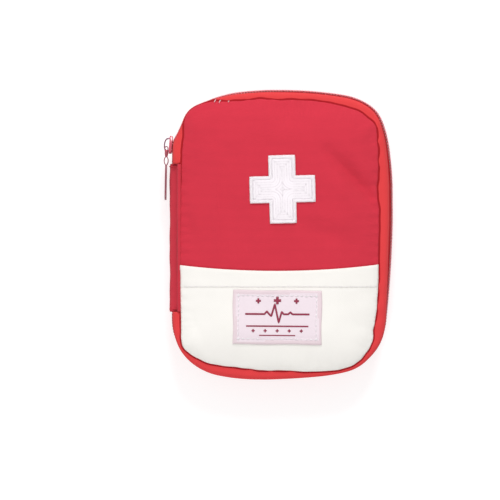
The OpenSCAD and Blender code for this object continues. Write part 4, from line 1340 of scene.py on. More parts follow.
def build_tapes(scene):
    """The two tapes, each with the seam that holds it beside the teeth."""
    line, zz = WORK["line"], scene.pouch_shape.zip_height * 1000
    s = np.linspace(TAPE_FROM, TAPE_TO, 350)
    wave = 0.16 * np.sin(s / 1.9 + 0.8 * np.sin(s / 7.0)) * (0.5 + 0.5 * np.sin(s / 13.0))
    # below the lid tape's shoulder and above the base tape's, the cloth is painted darker as shade
    for body, seam, size, side, narrow in (("lid", line.seam(s), 1.0, 1.0, lambda z: z < 17.0),
                                           ("base", 5.4, 0.6, -1.0, lambda z: z > 9.0)):
        P, uv = tape_surface(line, s, seam, wave * size)
        if body == "base":
            P[..., 2] = 2 * zz - P[..., 2]
        ob = edge_shaded(strip(f"zip_tape_{body}", P, "zip_tape", uv), narrow)
        thick(ob, scene.zip_sizes.tape * 1000, side, False)
        finish(ob, body, "zip_tape", f"{body}_tape")
    for body, z, part in (("lid", 15.2, s[np.abs(s - PARK) > 7.2]), ("base", 10.8, s)):
        xy, n = line.at(part, free_edge(line, part) - 0.45 + line.dip(part))
        finish(sewn(f"{body}_tape_stitches", (1.25, 0.24, 0.2), at_height(xy, z), at_height(n, 0),
                    (part[-1] - part[0]) / 1.5, "red_thread"), body, "zip_tape")


def build_end_tack(scene):
    """A folded bit of tape, tacked across the end of the zip beside the spine."""
    line = WORK["line"]
    s = np.linspace(TAPE_FROM + 0.1, PARK - 1.0, 12)
    z = np.linspace(9.9, 14.6, 9)
    d = line.dip(s) + 1.0
    P = np.stack([at_height(line.at(s, d + 0.35 * abs(q - 12.25) / 2.35)[0],
                            q + 0.12 * np.sin(s * 1.9) * (q in (z[0], z[-1]))) for q in z], 1)
    # its cloth is the tape edge's, painted dark as shade
    ob = outward(thick(strip("zip_end_tack", P, "tape_edge_shade", pattern_of(s, z)), 0.5, 0.0))
    finish(ob, "base", "zip_tape")
    xy, n = line.at(np.full(20, PARK - 4.9), np.full(20, float(d[6]) - 0.28))
    finish(sewn("zip_end_stitches", (1.5, 0.3, 0.2), at_height(xy, np.linspace(10.6, 13.9, 20)),
                at_height(n, 0), 5, "red_thread"), "base", "zip_tape")


def tooth(up):
    """One turn of the coil: down the front, round the head and back up behind."""
    pts = np.array([(-0.16, 1.8, -0.75), (-0.06, 1.75, -0.4), (0.0, 1.2, -0.1), (0.05, 0.2, 0.0),
                    (0.1, -0.45, -0.08), (0.2, -0.62, -0.3), (0.28, -0.3, -0.5), (0.34, 1.2, -0.7)])
    pts[:, 1] *= -up
    r = np.array([0.26, 0.33, 0.3, 0.27, 0.32, 0.3, 0.24, 0.2])
    return tube("tooth_piece", pts, r, None, 5)


def build_coils(scene):
    """Two rows of teeth that mesh half a pitch apart along the whole zip."""
    line, pitch = WORK["line"], scene.zip_sizes.pitch * 1000
    zz = scene.pouch_shape.zip_height * 1000
    for body, phase, up in (("lid", 0.5, 1), ("base", 0.0, -1)):
        k0 = math.ceil((-0.6 - phase * pitch) / pitch)
        k1 = math.floor((TAPE_TO - PARK - 0.8 - phase * pitch) / pitch)
        s = PARK + np.arange(k0 * 4, k1 * 4 + 1) * pitch / 4 + phase * pitch
        sink = line.dip(s) + 0.12 + line.tucked(s) * 0.35
        xy, n = line.at(s, sink)
        ob = row(f"zip_teeth_{body}", tooth(up), at_height(xy, zz), at_height(n, -0.10 * up),
                 k1 - k0 + 1, "zip_coil")
        finish(ob, body, "zip_coil", f"{body}_coil", f"{body}_coil_parting")


SLIDER_AT = 175, 13.0                # the slider's place round the corner in degrees, and its height


def moved(P, degrees, dx, dy, dz=0.0):
    """Points turned about the upright axis, then moved."""
    a, (x, y, z) = math.radians(degrees), np.moveaxis(np.asarray(P, float), -1, 0)
    return points(x * math.cos(a) - y * math.sin(a) + dx, x * math.sin(a) + y * math.cos(a) + dy, z + dz)


def at_slider(P):
    """From the slider's own axes, X outwards and Y towards the spine, to the pouch."""
    return moved(P, SLIDER_AT[0], -WORK["line"].cx, WORK["line"].cy, SLIDER_AT[1])


def smooth_path(points, n):
    """A rounded path through a few points."""
    p = np.array(points, float)
    p = np.vstack([2 * p[0] - p[1], p, 2 * p[-1] - p[-2]])
    out = []
    for k in range(1, len(p) - 2):
        for t in np.linspace(0, 1, n, endpoint=False):
            a, b, c, d = p[k - 1:k + 3]
            out.append(0.5 * (2 * b + (c - a) * t + (2 * a - 5 * b + 4 * c - d) * t * t
                              + (3 * b - a - 3 * c + d) * t ** 3))
    return np.array(out + [p[-2]])


def build_slider(scene):
    """The painted slider and its bail of thin wire."""
    body = dressed_copy("slider_body", "slider_painted", "slider_paint", 0.28, 4)
    finish(body, "slider", "slider_paint", "slider_body")
    arch = smooth_path([(28.75, -3.25), (29.9, -3.2), (30.95, -2.6), (31.5, -1.2), (31.62, 0.4),
                        (31.45, 1.7), (30.95, 2.65), (30.0, 3.05), (28.75, 3.05)], 6)
    u = np.linspace(-1, 1, len(arch))
    bail = tube("bail_wire", at_slider(at_height(arch, 0.0)), 0.34 + 0.16 * np.abs(u) ** 3,
                "bail_metal", 12)
    finish(bail, "slider", "bail_metal", "slider_bail")


HANG = 4, 30.45, 1.65                # the puller's lean in degrees, and its eye from the corner's centre


def build_puller(scene):
    """A flat puller of folded sheet: two leaves round the bail that meet in the tab."""
    eye, end, tip_r, shut = 8.6, 26.4, 3.3, 0.26   # the eye's length, the whole, the tip, half the gap
    parts = []

    def fold_up(name, P):
        parts.append(thick(strip(name, at_slider(moved(P, *HANG)), "puller_paint"), 0.42, 0.0))

    tip = np.arange(1, 9) / 8 * math.pi / 2
    y = np.concatenate([np.linspace(1.9, eye, 14), np.linspace(9.4, end - tip_r, 12)])
    bulge = 0.75 * np.sin(np.clip((y - 4.4) / 4.2, 0, 1) * math.pi) ** 0.7
    gap = np.concatenate([np.where(y < eye, shut + bulge, shut), np.full(8, shut)])
    half = np.where(y < eye, 1.75 + 0.25 * (y / eye), 2.0 + 1.3 * np.clip((y - eye) / 8.0, 0, 1) ** 0.8)
    half = np.concatenate([half, tip_r * np.cos(tip) + 0.02])
    y = np.concatenate([y, end - tip_r + tip_r * np.sin(tip)])
    for side in (-1, 1):
        fold_up("leaf", points((side * gap)[:, None], y[:, None], half[:, None] * np.linspace(-1, 1, 9)))
    bend = [(0.78 * math.sin(min(max(w, -1.5), 1.5)), 0.1 - 0.78 * math.cos(w))
            for w in np.linspace(-math.pi * 0.62, math.pi * 0.62, 15)]
    fold = np.array([(-0.42, 2.3), (-0.74, 1.2), *bend, (0.74, 1.2), (0.42, 2.3)])
    fold_up("fold", np.stack([at_height(fold, z) for z in np.linspace(-1.75, 1.75, 5)], 1))
    lug = []
    c, s = np.cos(all_round(16)), np.sin(all_round(16))
    for y, r in ((1.0, 0.02), (1.05, 0.6), (1.6, 0.85), (3.0, 0.9), (4.1, 0.7), (4.75, 0.4), (4.8, 0.02)):
        lug.append(points(1.05 * r * np.sign(c) * np.abs(c) ** 0.6, y,
                          1.75 * min(1, r * 2) * np.sign(s) * np.abs(s) ** 0.6))
    lug = strip("lug", at_slider(moved(np.stack(lug), *HANG)), "slider_paint", close_v=True)
    parts.append(outward(lug))
    ob = softened(outward(joined("puller_folded", *parts)), 0.08, 2, 50)
    for p in ob.data.polygons:
        p.use_smooth = True
    finish(ob, "puller", "puller_paint", "puller")


# ---- Spine -----------------------------------------------------------------------------

def build_spine(scene):
    """The cloth that joins the two halves on the left."""
    lo, hi = corners("spine_panel")
    y = np.linspace(lo[1] - 0.3, hi[1] + 0.3, 90)
    x_out, x_in = lo[0] + 0.05, hi[0]
    prof = smooth_path([(x_in - 0.3, 4.0), (x_in - 2.2, 4.4), (x_out + 1.0, 6.6), (x_out, 9.6),
                        (x_out - 0.02, 13.0), (x_out + 0.02, 15.5), (x_out + 0.6, 16.9), (-54.95, 18.1),
                        (-53.6, 19.0), (-52.6, 19.85), (-51.9, 21.1)], 4)
    end = np.exp(-np.minimum(y - lo[1], hi[1] - y) / 1.6)
    rows = []
    for k, (x, z) in enumerate(prof):
        w = math.sin(math.pi * k / (len(prof) - 1))
        wave = 0.16 * np.sin(y / 4.7 + z / 5) + 0.12 * np.sin(y / 2.1 - z / 3)
        rows.append(points(x - w * (wave - 0.3 * end) * 0.7 + 0.2 * w, y, z))
    P = np.stack(rows, 1)
    ob = outward(thick(strip("spine_cloth", P, "spine_cloth", pattern_of(y, run(prof))), 0.6, 1.0))
    finish(ob, "base", "spine_cloth", "spine_panel")
    x, z = prof[2:-4].T
    seams = [tube("spine_end_seam", points(x + 0.2, at, z), 0.28, "spine_cloth", 8)
             for at in (lo[1] + 1.0, hi[1] - 1.0)]
    finish(joined("spine_end_seams", *seams), "base", "spine_cloth")
    rod = dressed_copy("hinge_seam", "hinge_roll", "spine_cloth", 0.2, 2)
    finish(rod, "base", "seam_cloth", "hinge_seam")


def build_back(scene):
    """The padded back, flat where it rests, and gathered into its seam."""
    line = WORK["line"]
    s = np.arange(0, line.total, 1.4)
    levels = [(0.9, 3.25), (0.3, 3.78), (0.0, 3.7), (0.35, 2.7), (1.0, 1.7), (2.0, 0.8), (3.4, 0.2),
              (5.2, 0.0), (8.0, 0.0), (14.0, 0.0)]
    gathers = 0.24 * np.sin(s / 1.05 + 1.1 * np.sin(s / 8.0))
    rings = [at_height(line.at(s, 5.5 + d)[0],
                       np.maximum(z + gathers * math.exp(-abs(d - 1.4) / 1.6) * (2 < k < 7), 0.0))
             for k, (d, z) in enumerate(levels)]
    v, f = grid(np.stack(rings, 1), close_u=True)
    under, top = len(v), len(v) + 1
    v = np.concatenate([v, [[0, 0, 0], [0, 0, 3.2]]])
    here = [j * len(levels) for j in range(len(s))]
    ends = list(zip(here, here[1:] + here[:1]))
    rim = len(levels) - 1
    faces = f.tolist() + [[a + rim, b + rim, under] for a, b in ends] + [[b, a, top] for a, b in ends]
    ob = outward(mesh_object("back_pad", v, faces, "crimson_cloth"))
    finish(ob, "base", "crimson_cloth", "back_panel", "back_foam")


def build_thread_ends(scene):
    """Three loose ends of white thread at the top seam."""
    parts = []
    z = 23.2                         # just over the front at its top seam
    for x, y, long in ((-33.7, 66.7, 0.7), (-31.3, 66.4, 0.8), (-26.9, 66.4, 0.4)):
        parts.append(tube("end", smooth_path([(x - 0.5 * long, y - 0.9 * long, z), (x - 0.1, y, z + 0.3),
                                              (x + 0.5 * long, y + 0.8 * long, z - 0.2)], 4),
                          0.15, "white_thread", 5))
    finish(joined("thread_ends", *parts), "lid", "cream_cloth")


# ---- Inside: linings, bindings, net, loops and what they hold ----------------------------

def sheet_over(name, rim, height, material, t, step=2.2):
    """A thin cloth over an outline, at the height that a function gives."""
    (x0, y0), (x1, y1) = rim.min(0), rim.max(0)
    flat, faces = filled(rim, spread_inside(rim, (x0, x1, y0, y1), step, step * 0.45))
    ob = mesh_object(name, at_height(flat, height(*flat.T)), faces, material, flat)
    return thick(upward(ob), t, -1.0)


LINING_IN = 6.1                      # the linings' edge inside the zip line


def build_linings(scene):
    """The light cloth that lines the base, the lid and the spine."""
    line = WORK["line"]
    s = np.arange(0, line.total, 1.5)
    rim, _ = line.at(s, np.maximum(LINING_IN, line.dip(s) + 2.9))

    def height(x, y):
        at, dist = line.nearest(points(x, y))
        edge = np.exp(-np.clip(dist - LINING_IN, 0, None) / 5.0)
        wave = (0.08 * np.sin(x / 7.3 + 0.4) * np.sin(y / 9.1)
                + 0.1 * edge * np.sin(at / 1.4 + np.sin(at / 9.0)))
        return z + wave - under_tape * np.clip((line.seam(at) + 1.9 - dist) / 1.4, 0, 1)

    for body, node, z, under_tape in (("base", "back_lining", 3.72, 0), ("lid", "lid_lining", 20.85, 0.42)):
        ob = sheet_over(f"lining_of_{body}", rim, height, "lining_cloth", 0.24)
        finish(ob, body, "lining_cloth", node)
    lo, hi = corners("spine_lining")
    y = np.linspace(lo[1] + 0.1, hi[1] - 0.1, 70)
    prof = smooth_path([(-50.6, 3.9), (-52.3, 4.5), (-54.5, 6.9), (-55.5, 9.6), (-55.6, 13.0), (-55.3, 15.4),
                        (-54.4, 16.7), (-53.2, 17.9), (-52.2, 18.7)], 3)
    P = np.stack([points(x + 0.16 * np.abs(np.sin(y / 4.1 + z / 4)), y, z) for x, z in prof], 1)
    ob = outward(thick(strip("lining_of_spine", P, "lining_cloth", P[..., 1:]), 0.25, 0.0))
    finish(ob, "base", "lining_cloth", "spine_lining")


def build_bindings(scene):
    """Ribbed tape folded over the raw seams inside the base and the lid."""
    line = WORK["line"]
    s = np.arange(0, line.total, 1.1)
    section = [(5.75, 3.95), (5.66, 4.5), (5.95, 4.9), (6.5, 4.98), (7.1, 4.9), (7.42, 4.5), (7.36, 3.95)]
    dip = line.dip(s)
    for body, facing, turn in (("base", UP, lambda z: z), ("lid", DOWN, lambda z: 24.5 - z)):
        rings = []
        for k, (d, z) in enumerate(section):
            bend = 0.05 * np.sin(s / 3.1 + k) + 0.03 * np.sin(s / 1.3)
            rings.append(at_height(line.at(s, np.maximum(d, dip + d - 2.6) + bend)[0],
                                   turn(z - 0.04 * (k in (2, 3, 4)) * (1 + np.sin(s / 2.2)))))
        ob = strip(f"binding_of_{body}", np.stack(rings, 1), "binding",
                   pattern_of(s, np.arange(len(section)) * 0.55), close_u=True, close_v=True)
        finish(outward(ob), body, "crimson_cloth", f"{body}_binding")
        xy, _ = line.at(s, np.maximum(6.95, dip + 4.35))
        finish(sewn(f"binding_stitches_of_{body}", (1.7, 0.26, 0.2), at_height(xy, turn(4.93)), facing,
                    line.total / 2.5, "red_thread", closed=True), body, "crimson_cloth")


ROLLS = {"bandage_roll_a": 16.0, "bandage_roll_b": 33.0}     # each roll and its axis's x
ROLL_Z = 10.5                        # height of their axes


def build_elastic(scene):
    """One elastic band sewn down between and beside the two rolls it holds."""
    (_, y0, z0), (_, y1, _) = corners("elastic_loops")
    path = [(6.8, z0 + 0.36), (8.2, z0 + 0.38)]
    for cx in ROLLS.values():
        w = np.radians(np.linspace(206, -26, 30))
        path += list(zip(cx + 7.0 * np.cos(w), ROLL_Z + 7.0 * np.sin(w)))
        path += [(24.2, z0 + 0.4), (24.8, z0 + 0.4)] if cx < 20 else [(40.8, z0 + 0.38), (42.2, z0 + 0.36)]
    path = smooth_path(path, 2)
    v = np.linspace(0, 1, 15)
    x, z = path.T
    tight, wave = np.clip((z - z0) / 14, 0, 1), 0.08 * np.sin(x * 1.7)
    P = np.stack([points(x, y0 + (y1 - y0) * t + (0.5 - t) * 0.9 * tight + wave * (t in (0.0, 1.0)), z)
                  for t in v], 1)
    uv = pattern_of(run(path), v * (y1 - y0))
    ob = outward(thick(strip("elastic_band", P, "elastic", uv), 0.62, 0.0))
    finish(ob, "base", "elastic", "elastic_loops")
    y = np.linspace(y0 + 0.9, y1 - 0.9, 30)
    parts = [sewn("elastic_row", (1.5, 0.3, 0.24), points(x, y, z0 + 0.74), UP, 8, "white_thread")
             for x in (7.5, 24.1, 24.9, 41.5)]
    finish(joined("elastic_stitches", *parts), "base", "elastic")


def build_bandages(scene):
    """Crepe bandages wound into rolls, their turns showing at the ends."""
    turns, first = 9.0, 1.55
    for k, (name, cx) in enumerate(ROLLS.items()):
        (_, y0, _), (_, y1, _) = corners(name)
        w = np.linspace(0, turns * 2 * math.pi, 250)
        r = first + (6.32 - first) * w / w[-1] + 0.05 * np.sin(w * 2.3 + k) * np.clip((w[-1] - w) / 6, 0, 1)
        turn = w[-1] - w + (2.2 if k else 2.6)
        v = np.linspace(0, 1, 17)
        rows = []
        for t in v:
            y = y0 + (y1 - y0) * t
            if t in (0.0, 1.0):
                y = y + (0.5 + 0.4 * np.sin(w * 1.7 + k)) * (1 if t == 0 else -1)
            puff = 1 + 0.012 * np.sin(9 * t * math.pi + w / 3)
            rows.append(points(cx + r * puff * np.cos(turn), y, ROLL_Z + r * puff * np.sin(turn)))
        P = np.stack(rows, 1)
        along = np.concatenate([[0], np.cumsum(np.hypot(np.diff(r), r[1:] * np.diff(w)))])
        uv = pattern_of(along, v * (y1 - y0))
        ob = outward(thick(strip(f"crepe_{name[-1]}", P, "bandage", uv), 0.36, 0.0))
        finish(ob, "base", "bandage", name)


def lathe(name, section, centre, material, steps=96):
    """A closed ring turned about an upright axis."""
    w = all_round(steps)
    r, z = np.array(section).T
    P = points(centre[0] + r * np.cos(w)[:, None], centre[1] + r * np.sin(w)[:, None], z)
    return outward(strip(name, P, material, pattern_of(w * 17, run(np.array(section))),
                         close_u=True, close_v=True))


def build_tape_roll(scene):
    """Plaster tape wound on its card core, with the end turned back as a tab."""
    lo, hi = corners("tape_roll")
    c, r, z0, z1 = (lo + hi) / 2, (hi[0] - lo[0]) / 2, lo[2], hi[2]
    rings = np.linspace(7.05, r - 0.35, 34)
    off = 0.07 * np.abs(np.sin(rings * 9.1)) + 0.05 * np.abs(np.sin(rings * 2.3))
    section = [(a, z0 + 0.02 + d) for a, d in zip(rings, off)]
    section += [(r - 0.08, z0 + 0.35), (r - 0.02, (z0 + z1) / 2), (r - 0.08, z1 - 0.35)]
    section += [(a, z1 - 0.02 - d) for a, d in zip(rings[::-1], off[::-1])]
    roll = lathe("tape_windings", section, c, "plaster_tape", 120)
    w = np.radians(np.linspace(120, 152, 24))
    rr = r - 0.04 + 0.16 * np.clip((w - w[0]) / (w[-1] - w[0]) * 3 - 2, 0, 1) ** 2
    z = np.linspace(z0 + 0.15, z1 - 0.15, 8)
    P = np.stack([points(c[0] + (rr - 0.22) * np.cos(w), c[1] + (rr - 0.22) * np.sin(w), q)
                  for q in z], 1)
    tab = outward(thick(strip("tape_tab", P, "plaster_tape", P[..., 1:]), 0.2, 0.0))
    finish(joined("tape_wound", roll, tab), "base", "plaster_tape", "tape_roll")
    lo, hi = corners("tape_core")
    r = (hi[0] - lo[0]) / 2
    edge = [(0.95, 0.2), (0.75, 0.02), (0.2, 0.02), (0.02, 0.2)]
    section = [(r - a, lo[2] + b) for a, b in edge] + [(r - a, hi[2] - b) for a, b in edge[::-1]]
    finish(lathe("card_core", section, (lo + hi) / 2, "card", 64), "base", "card", "tape_core")


def packet(name, node, seal, ends, materials, pattern, step, wave=0.05):
    """A flat sealed packet: crimped borders, a soft middle, and areas of other colours."""
    lo, hi = corners(node)
    w, h, t = hi - lo
    nu, nv = int(w / step) + 1, int(h / step) + 1
    U, V = np.meshgrid(np.linspace(0.12, w - 0.12, nu), np.linspace(0.12, h - 0.12, nv), indexing="ij")
    du, dv = np.minimum(U, w - U), np.minimum(V, h - V)
    side = np.clip((du - seal) / (0.16 * w), 0, 1)
    tip = np.clip((dv - ends) / (0.12 * h), 0, 1)
    swell = np.sin(side * math.pi / 2) ** 0.7 * np.sin(tip * math.pi / 2) ** 0.7
    crimp = 0.07 * t * np.sin(V * math.tau / 1.7) * (dv < ends)
    soft = wave * t * np.sin(U / 3.1 + V / 5.3) * np.sin(V / 4.1 - U / 6.7) * np.clip(swell * 2, 0, 1)
    half = t * (0.08 + 0.37 * swell)
    mid = lo[2] + t / 2
    upper, lower = (points(lo[0] + U, lo[1] + V, np.clip(z, lo[2] + 0.02, hi[2] - 0.02))
                    for z in (mid + half + crimp + soft, mid - half + crimp))
    v, f = grid(np.concatenate([upper, lower[:, ::-1]], 1), close_v=True)
    n = 2 * nv
    caps = []
    for u in (0, nu - 1):
        for k in range(nv - 1):
            a, b = u * n + k, u * n + n - 1 - k
            caps.append([a, a + 1, b - 1, b])
    ob = mesh_object(name, v, f.tolist() + caps, materials[0], v[:, :2])
    for m in materials[1:]:
        ob.data.materials.append(stuff(m))
    outward(ob)
    for p in ob.data.polygons:
        x, y, z = np.array(p.center) / MM
        p.material_index = pattern((x - lo[0]) / w, (y - lo[1]) / h, z > mid)
    return ob


def build_gauze(scene):
    """Paper packets of gauze, each with a plain band and a plain cross."""
    def pattern(u, v, top):
        a, b = abs(u - 0.5), abs(v - 0.47)
        cross = min(max(a / 0.05, b / 0.15), max(a / 0.15, b / 0.05)) < 1
        return int(top and (0.8 < v < 0.92 or cross))
    for k in "ab":
        ob = packet(f"gauze_{k}", f"gauze_packet_{k}", 2.4, 3.2, ("packet_paper", "print_blue"),
                    pattern, 0.7)
        finish(ob, "base", "packet_paper", f"gauze_packet_{k}")


def build_sachets(scene):
    """Foil sachets of wipes with crimped ends."""
    for k in "ab":
        ob = packet(f"sachet_{k}", f"wipe_sachet_{k}", 1.8, 3.4, ("sachet_foil", "print_blue"),
                    lambda u, v, top: int(top and (0.3 < v < 0.4 or 0.62 < v < 0.66)), 0.7, 0.1)
        finish(ob, "base", "sachet_foil", f"wipe_sachet_{k}")


def build_plasters(scene):
    """Wrapped plasters, the pad showing as a darker window."""
    def pattern(u, v, top):
        return 1 if 0.36 < v < 0.64 and 0.16 < u < 0.84 else 2 if 0.9 < v < 0.93 else 0
    for k in "abc":
        ob = packet(f"wrapped_{k}", f"plaster_{k}", 1.3, 3.0,
                    ("plaster_wrapper", "pad_tan", "print_blue"), pattern, 0.8, 0.03)
        finish(ob, "lid", "plaster_wrapper", f"plaster_{k}")


def build_tweezers(scene):
    ob = dressed_copy("tweezers", "tweezers_steel", "steel", 0.22, 3)
    finish(ob, "base", "steel", "tweezers")


def honeycomb(x0, x1, y0, y1, side):
    """Corners and edges of a six-sided net within a rectangle."""
    pts, edges = {}, set()

    def corner(x, y):
        return pts.setdefault((round(x, 2), round(y, 2)), len(pts))
    wide = side * math.sqrt(3)
    for j in range(int((y1 - y0) / (1.5 * side)) + 2):
        for i in range(int((x1 - x0) / wide) + 2):
            cx, cy = x0 + (i + (j % 2) / 2) * wide, y0 + j * 1.5 * side
            ring = [(cx + side * math.sin(w), cy + side * math.cos(w))
                    for w in (k * math.pi / 3 for k in range(6))]
            for a, b in zip(ring, ring[1:] + ring[:1]):
                if all(x0 <= p[0] <= x1 and y0 <= p[1] <= y1 for p in (a, b)):
                    edges.add(tuple(sorted((corner(*a), corner(*b)))))
    return np.array(list(pts)), sorted(edges)


# Heights of the net where it meets its rim, of the rim, of the rim's stitches and of the mouth
NET_Z, NET_RIM_Z, NET_STITCH_Z, MOUTH_Z = 20.4, 20.33, 20.08, 18.26
RIM_STITCH = (1.7, 0.26, 0.2)


def build_net(scene):
    """The net pocket of the lid, its sewn rim and its elastic mouth."""
    lo, hi = corners("mesh_pocket")
    half, y0, y1 = hi[0] - 0.9, lo[1] + 0.9, hi[1]
    pts, edges = honeycomb(-half, half, y0, y1 - 2.0, 1.75)
    d = np.minimum(half - np.abs(pts[:, 0]), pts[:, 1] - y0)
    z = NET_Z - 1.78 * np.clip(d / 2.0, 0, 1) ** 0.8 + 0.05 * np.sin(pts[:, 0] / 4) * np.sin(pts[:, 1] / 5)
    ob = wires("net_cords", np.column_stack([pts, z]), edges)
    grown(ob, "Strands", Radius=0.2 * MM, Sides=4, Material=stuff("net"))
    finish(ob, "lid", "net", "mesh_pocket")

    w = np.linspace(0, math.pi / 2, 7)
    rim = [(-half, y1 - 0.5), (-half, y0 + 2)]
    rim += [(-half + 2 - 2 * math.cos(a), y0 + 2 - 2 * math.sin(a)) for a in w[1:]]
    rim += [(half - 2 + 2 * math.sin(a), y0 + 2 - 2 * math.cos(a)) for a in w[:-1]]
    rim += [(half, y0 + 2), (half, y1 - 0.5)]
    rim = dense(np.array(rim), 1.0, closed=False)
    finish(tube("net_rim", at_height(rim, NET_RIM_Z), 0.88, "binding", 10, squash=0.3), "lid", "net")
    parts = [sewn("net_rim_row", RIM_STITCH, at_height(rim, NET_STITCH_Z), DOWN, 86, "red_thread")]

    lo, hi = corners("mesh_edging")
    x = np.linspace(lo[0] + 0.15, hi[0] - 0.15, 150)
    v = np.linspace(0, 1, 11)
    rise = 1.95 * np.exp(-(hi[0] - np.abs(x)) / 0.7)
    rows = []
    for t in v:
        pull = 0.9 * (1 - (x / hi[0]) ** 2) * (0.3 + 0.7 * t)
        ruffle = 0.09 * np.sin(x / 1.1 + 2 * t) * (0.4 + 0.6 * abs(2 * t - 1))
        rows.append(points(x, lo[1] + 0.1 + (hi[1] - lo[1] - 0.3) * t - pull, MOUTH_Z + ruffle + rise))
    P = np.stack(rows, 1)
    ob = outward(thick(strip("net_mouth", P, "binding", pattern_of(x, v * 7.0)), 0.34, 0.0))
    finish(ob, "lid", "net", "mesh_edging")
    for t in (0.18, 0.82):
        parts.append(sewn("mouth_row", RIM_STITCH, P[:, int(round(t * 10))] - (0, 0, 0.19), DOWN, 30,
                          "white_thread"))
    finish(joined("net_stitches", *parts), "lid", "net")


# ---- Stage ---------------------------------------------------------------------------------

def seen_directly(t):
    """1 for rays from the camera, a gloss or a clear piece, which see the background plain white."""
    ray = t.node("ShaderNodeLightPath").outputs
    return t.max(ray["Is Camera Ray"], t.max(ray["Is Glossy Ray"], ray["Is Transmission Ray"]))


def build_stage(scene):
    """A pale table, soft light from above and the camera over the pouch."""
    me = bpy.data.meshes.new("table")
    half, z = 1.5, -0.0002
    me.from_pydata([(-half, -half, z), (half, -half, z), (half, half, z), (-half, half, z)],
                   [], [(0, 1, 2, 3)])
    floor = linked("table", me)
    m, t, b = new_material("Table", 0.9, Specular_IOR_Level=0.1)
    b.inputs["Base Color"].default_value = (0.5, 0.5, 0.5, 1)
    b.inputs["Emission Strength"].default_value = 1.0
    t.put(b.inputs["Emission Color"], t.mix(seen_directly(t), (0.3, 0.3, 0.3), (0.62, 0.62, 0.62)))
    me.materials.append(m)
    w = bpy.data.worlds.new("Soft room")
    scene.world = w
    w.use_nodes = True
    w.node_tree.nodes.clear()
    t = Tree(w.node_tree)
    bg = t.node("ShaderNodeBackground", {"Color": (1, 1, 1, 1),
                                         "Strength": t.muladd(seen_directly(t), 0.5, 0.5)})
    t.put(t.node("ShaderNodeOutputWorld").inputs["Surface"], bg)
    for name, at, size, power in (("key", (0.1, 0.85, 0.7), 0.45, 7.9),
                                  ("fill", (-0.35, -0.7, 0.75), 0.8, 4.0)):
        d = bpy.data.lights.new(name, "AREA")
        d.shape, d.size, d.energy = "DISK", size, power
        o = linked(name, d)
        o.location, o.rotation_mode = at, "QUATERNION"
        o.rotation_quaternion = (Vector((0, 0, 0.01)) - Vector(at)).to_track_quat("-Z", "Y")
    cam = bpy.data.cameras.new("camera")
    cam.sensor_width, cam.lens = 36, 36 * 1.2 / 0.2525    # 0.2525 m across at 1.2 m
    cam.clip_start, cam.clip_end = 0.05, 10
    scene.camera = linked("camera", cam)
    scene.camera.location = (-0.0162, -0.0080, 1.213)
    scene.view_settings.view_transform = "Standard"


# ---- Operators ------------------------------------------------------------------------------

class POUCH_OT_stage(bpy.types.Operator):
    """Builds the table, the lights and the camera"""
    bl_idname = "pouch.stage"
    bl_label = "Stage"

    def execute(self, context):
        build_stage(context.scene)
        return {"FINISHED"}


class POUCH_OT_front(bpy.types.Operator):
    """Builds the padded front of crimson cloth"""
    bl_idname = "pouch.front"
    bl_label = "Padded front"

    def execute(self, context):
        build_front(context.scene)
        return {"FINISHED"}


class POUCH_OT_groove(bpy.types.Operator):
    """Builds the seam between the front and the zip, painted dark as shade"""
    bl_idname = "pouch.groove"
    bl_label = "Seam groove"

    def execute(self, context):
        build_groove(context.scene)
        return {"FINISHED"}


class POUCH_OT_pocket(bpy.types.Operator):
    """Builds the cream pocket"""
    bl_idname = "pouch.pocket"
    bl_label = "Pocket"

    def execute(self, context):
        build_pocket(context.scene)
        return {"FINISHED"}


class POUCH_OT_hem(bpy.types.Operator):
    """Builds the pocket's folded hem and its stitches"""
    bl_idname = "pouch.hem"
    bl_label = "Hem"

    def execute(self, context):
        build_hem(context.scene)
        return {"FINISHED"}


class POUCH_OT_cross(bpy.types.Operator):
    """Builds the embroidered cross and its satin border"""
    bl_idname = "pouch.cross"
    bl_label = "Cross"

    def execute(self, context):
        build_cross(context.scene)
        return {"FINISHED"}


class POUCH_OT_label(bpy.types.Operator):
    """Builds the woven label"""
    bl_idname = "pouch.label"
    bl_label = "Label"

    def execute(self, context):
        build_label(context.scene)
        return {"FINISHED"}


class POUCH_OT_tapes(bpy.types.Operator):
    """Builds the two woven tapes"""
    bl_idname = "pouch.tapes"
    bl_label = "Zip tapes"

    def execute(self, context):
        build_tapes(context.scene)
        return {"FINISHED"}


class POUCH_OT_coils(bpy.types.Operator):
    """Builds the two rows of teeth"""
    bl_idname = "pouch.coils"
    bl_label = "Zip teeth"

    def execute(self, context):
        build_coils(context.scene)
        return {"FINISHED"}


class POUCH_OT_slider(bpy.types.Operator):
    """Builds the slider and its bail"""
    bl_idname = "pouch.slider"
    bl_label = "Slider"

    def execute(self, context):
        build_slider(context.scene)
        return {"FINISHED"}


class POUCH_OT_puller(bpy.types.Operator):
    """Builds the folded puller"""
    bl_idname = "pouch.puller"
    bl_label = "Puller"

    def execute(self, context):
        build_puller(context.scene)
        return {"FINISHED"}


class POUCH_OT_spine(bpy.types.Operator):
    """Builds the cloth spine and its seams"""
    bl_idname = "pouch.spine"
    bl_label = "Spine"

    def execute(self, context):
        build_spine(context.scene)
        return {"FINISHED"}


class POUCH_OT_back(bpy.types.Operator):
    """Builds the padded back"""
    bl_idname = "pouch.back"
    bl_label = "Back"

    def execute(self, context):
        build_back(context.scene)
        return {"FINISHED"}


class POUCH_OT_thread_ends(bpy.types.Operator):
    """Builds the loose ends of thread"""
    bl_idname = "pouch.thread_ends"
    bl_label = "Thread ends"

    def execute(self, context):
        build_thread_ends(context.scene)
        return {"FINISHED"}


class POUCH_OT_linings(bpy.types.Operator):
    """Builds the linings of the base, the lid and the spine"""
    bl_idname = "pouch.linings"
    bl_label = "Linings"

    def execute(self, context):
        build_linings(context.scene)
        return {"FINISHED"}


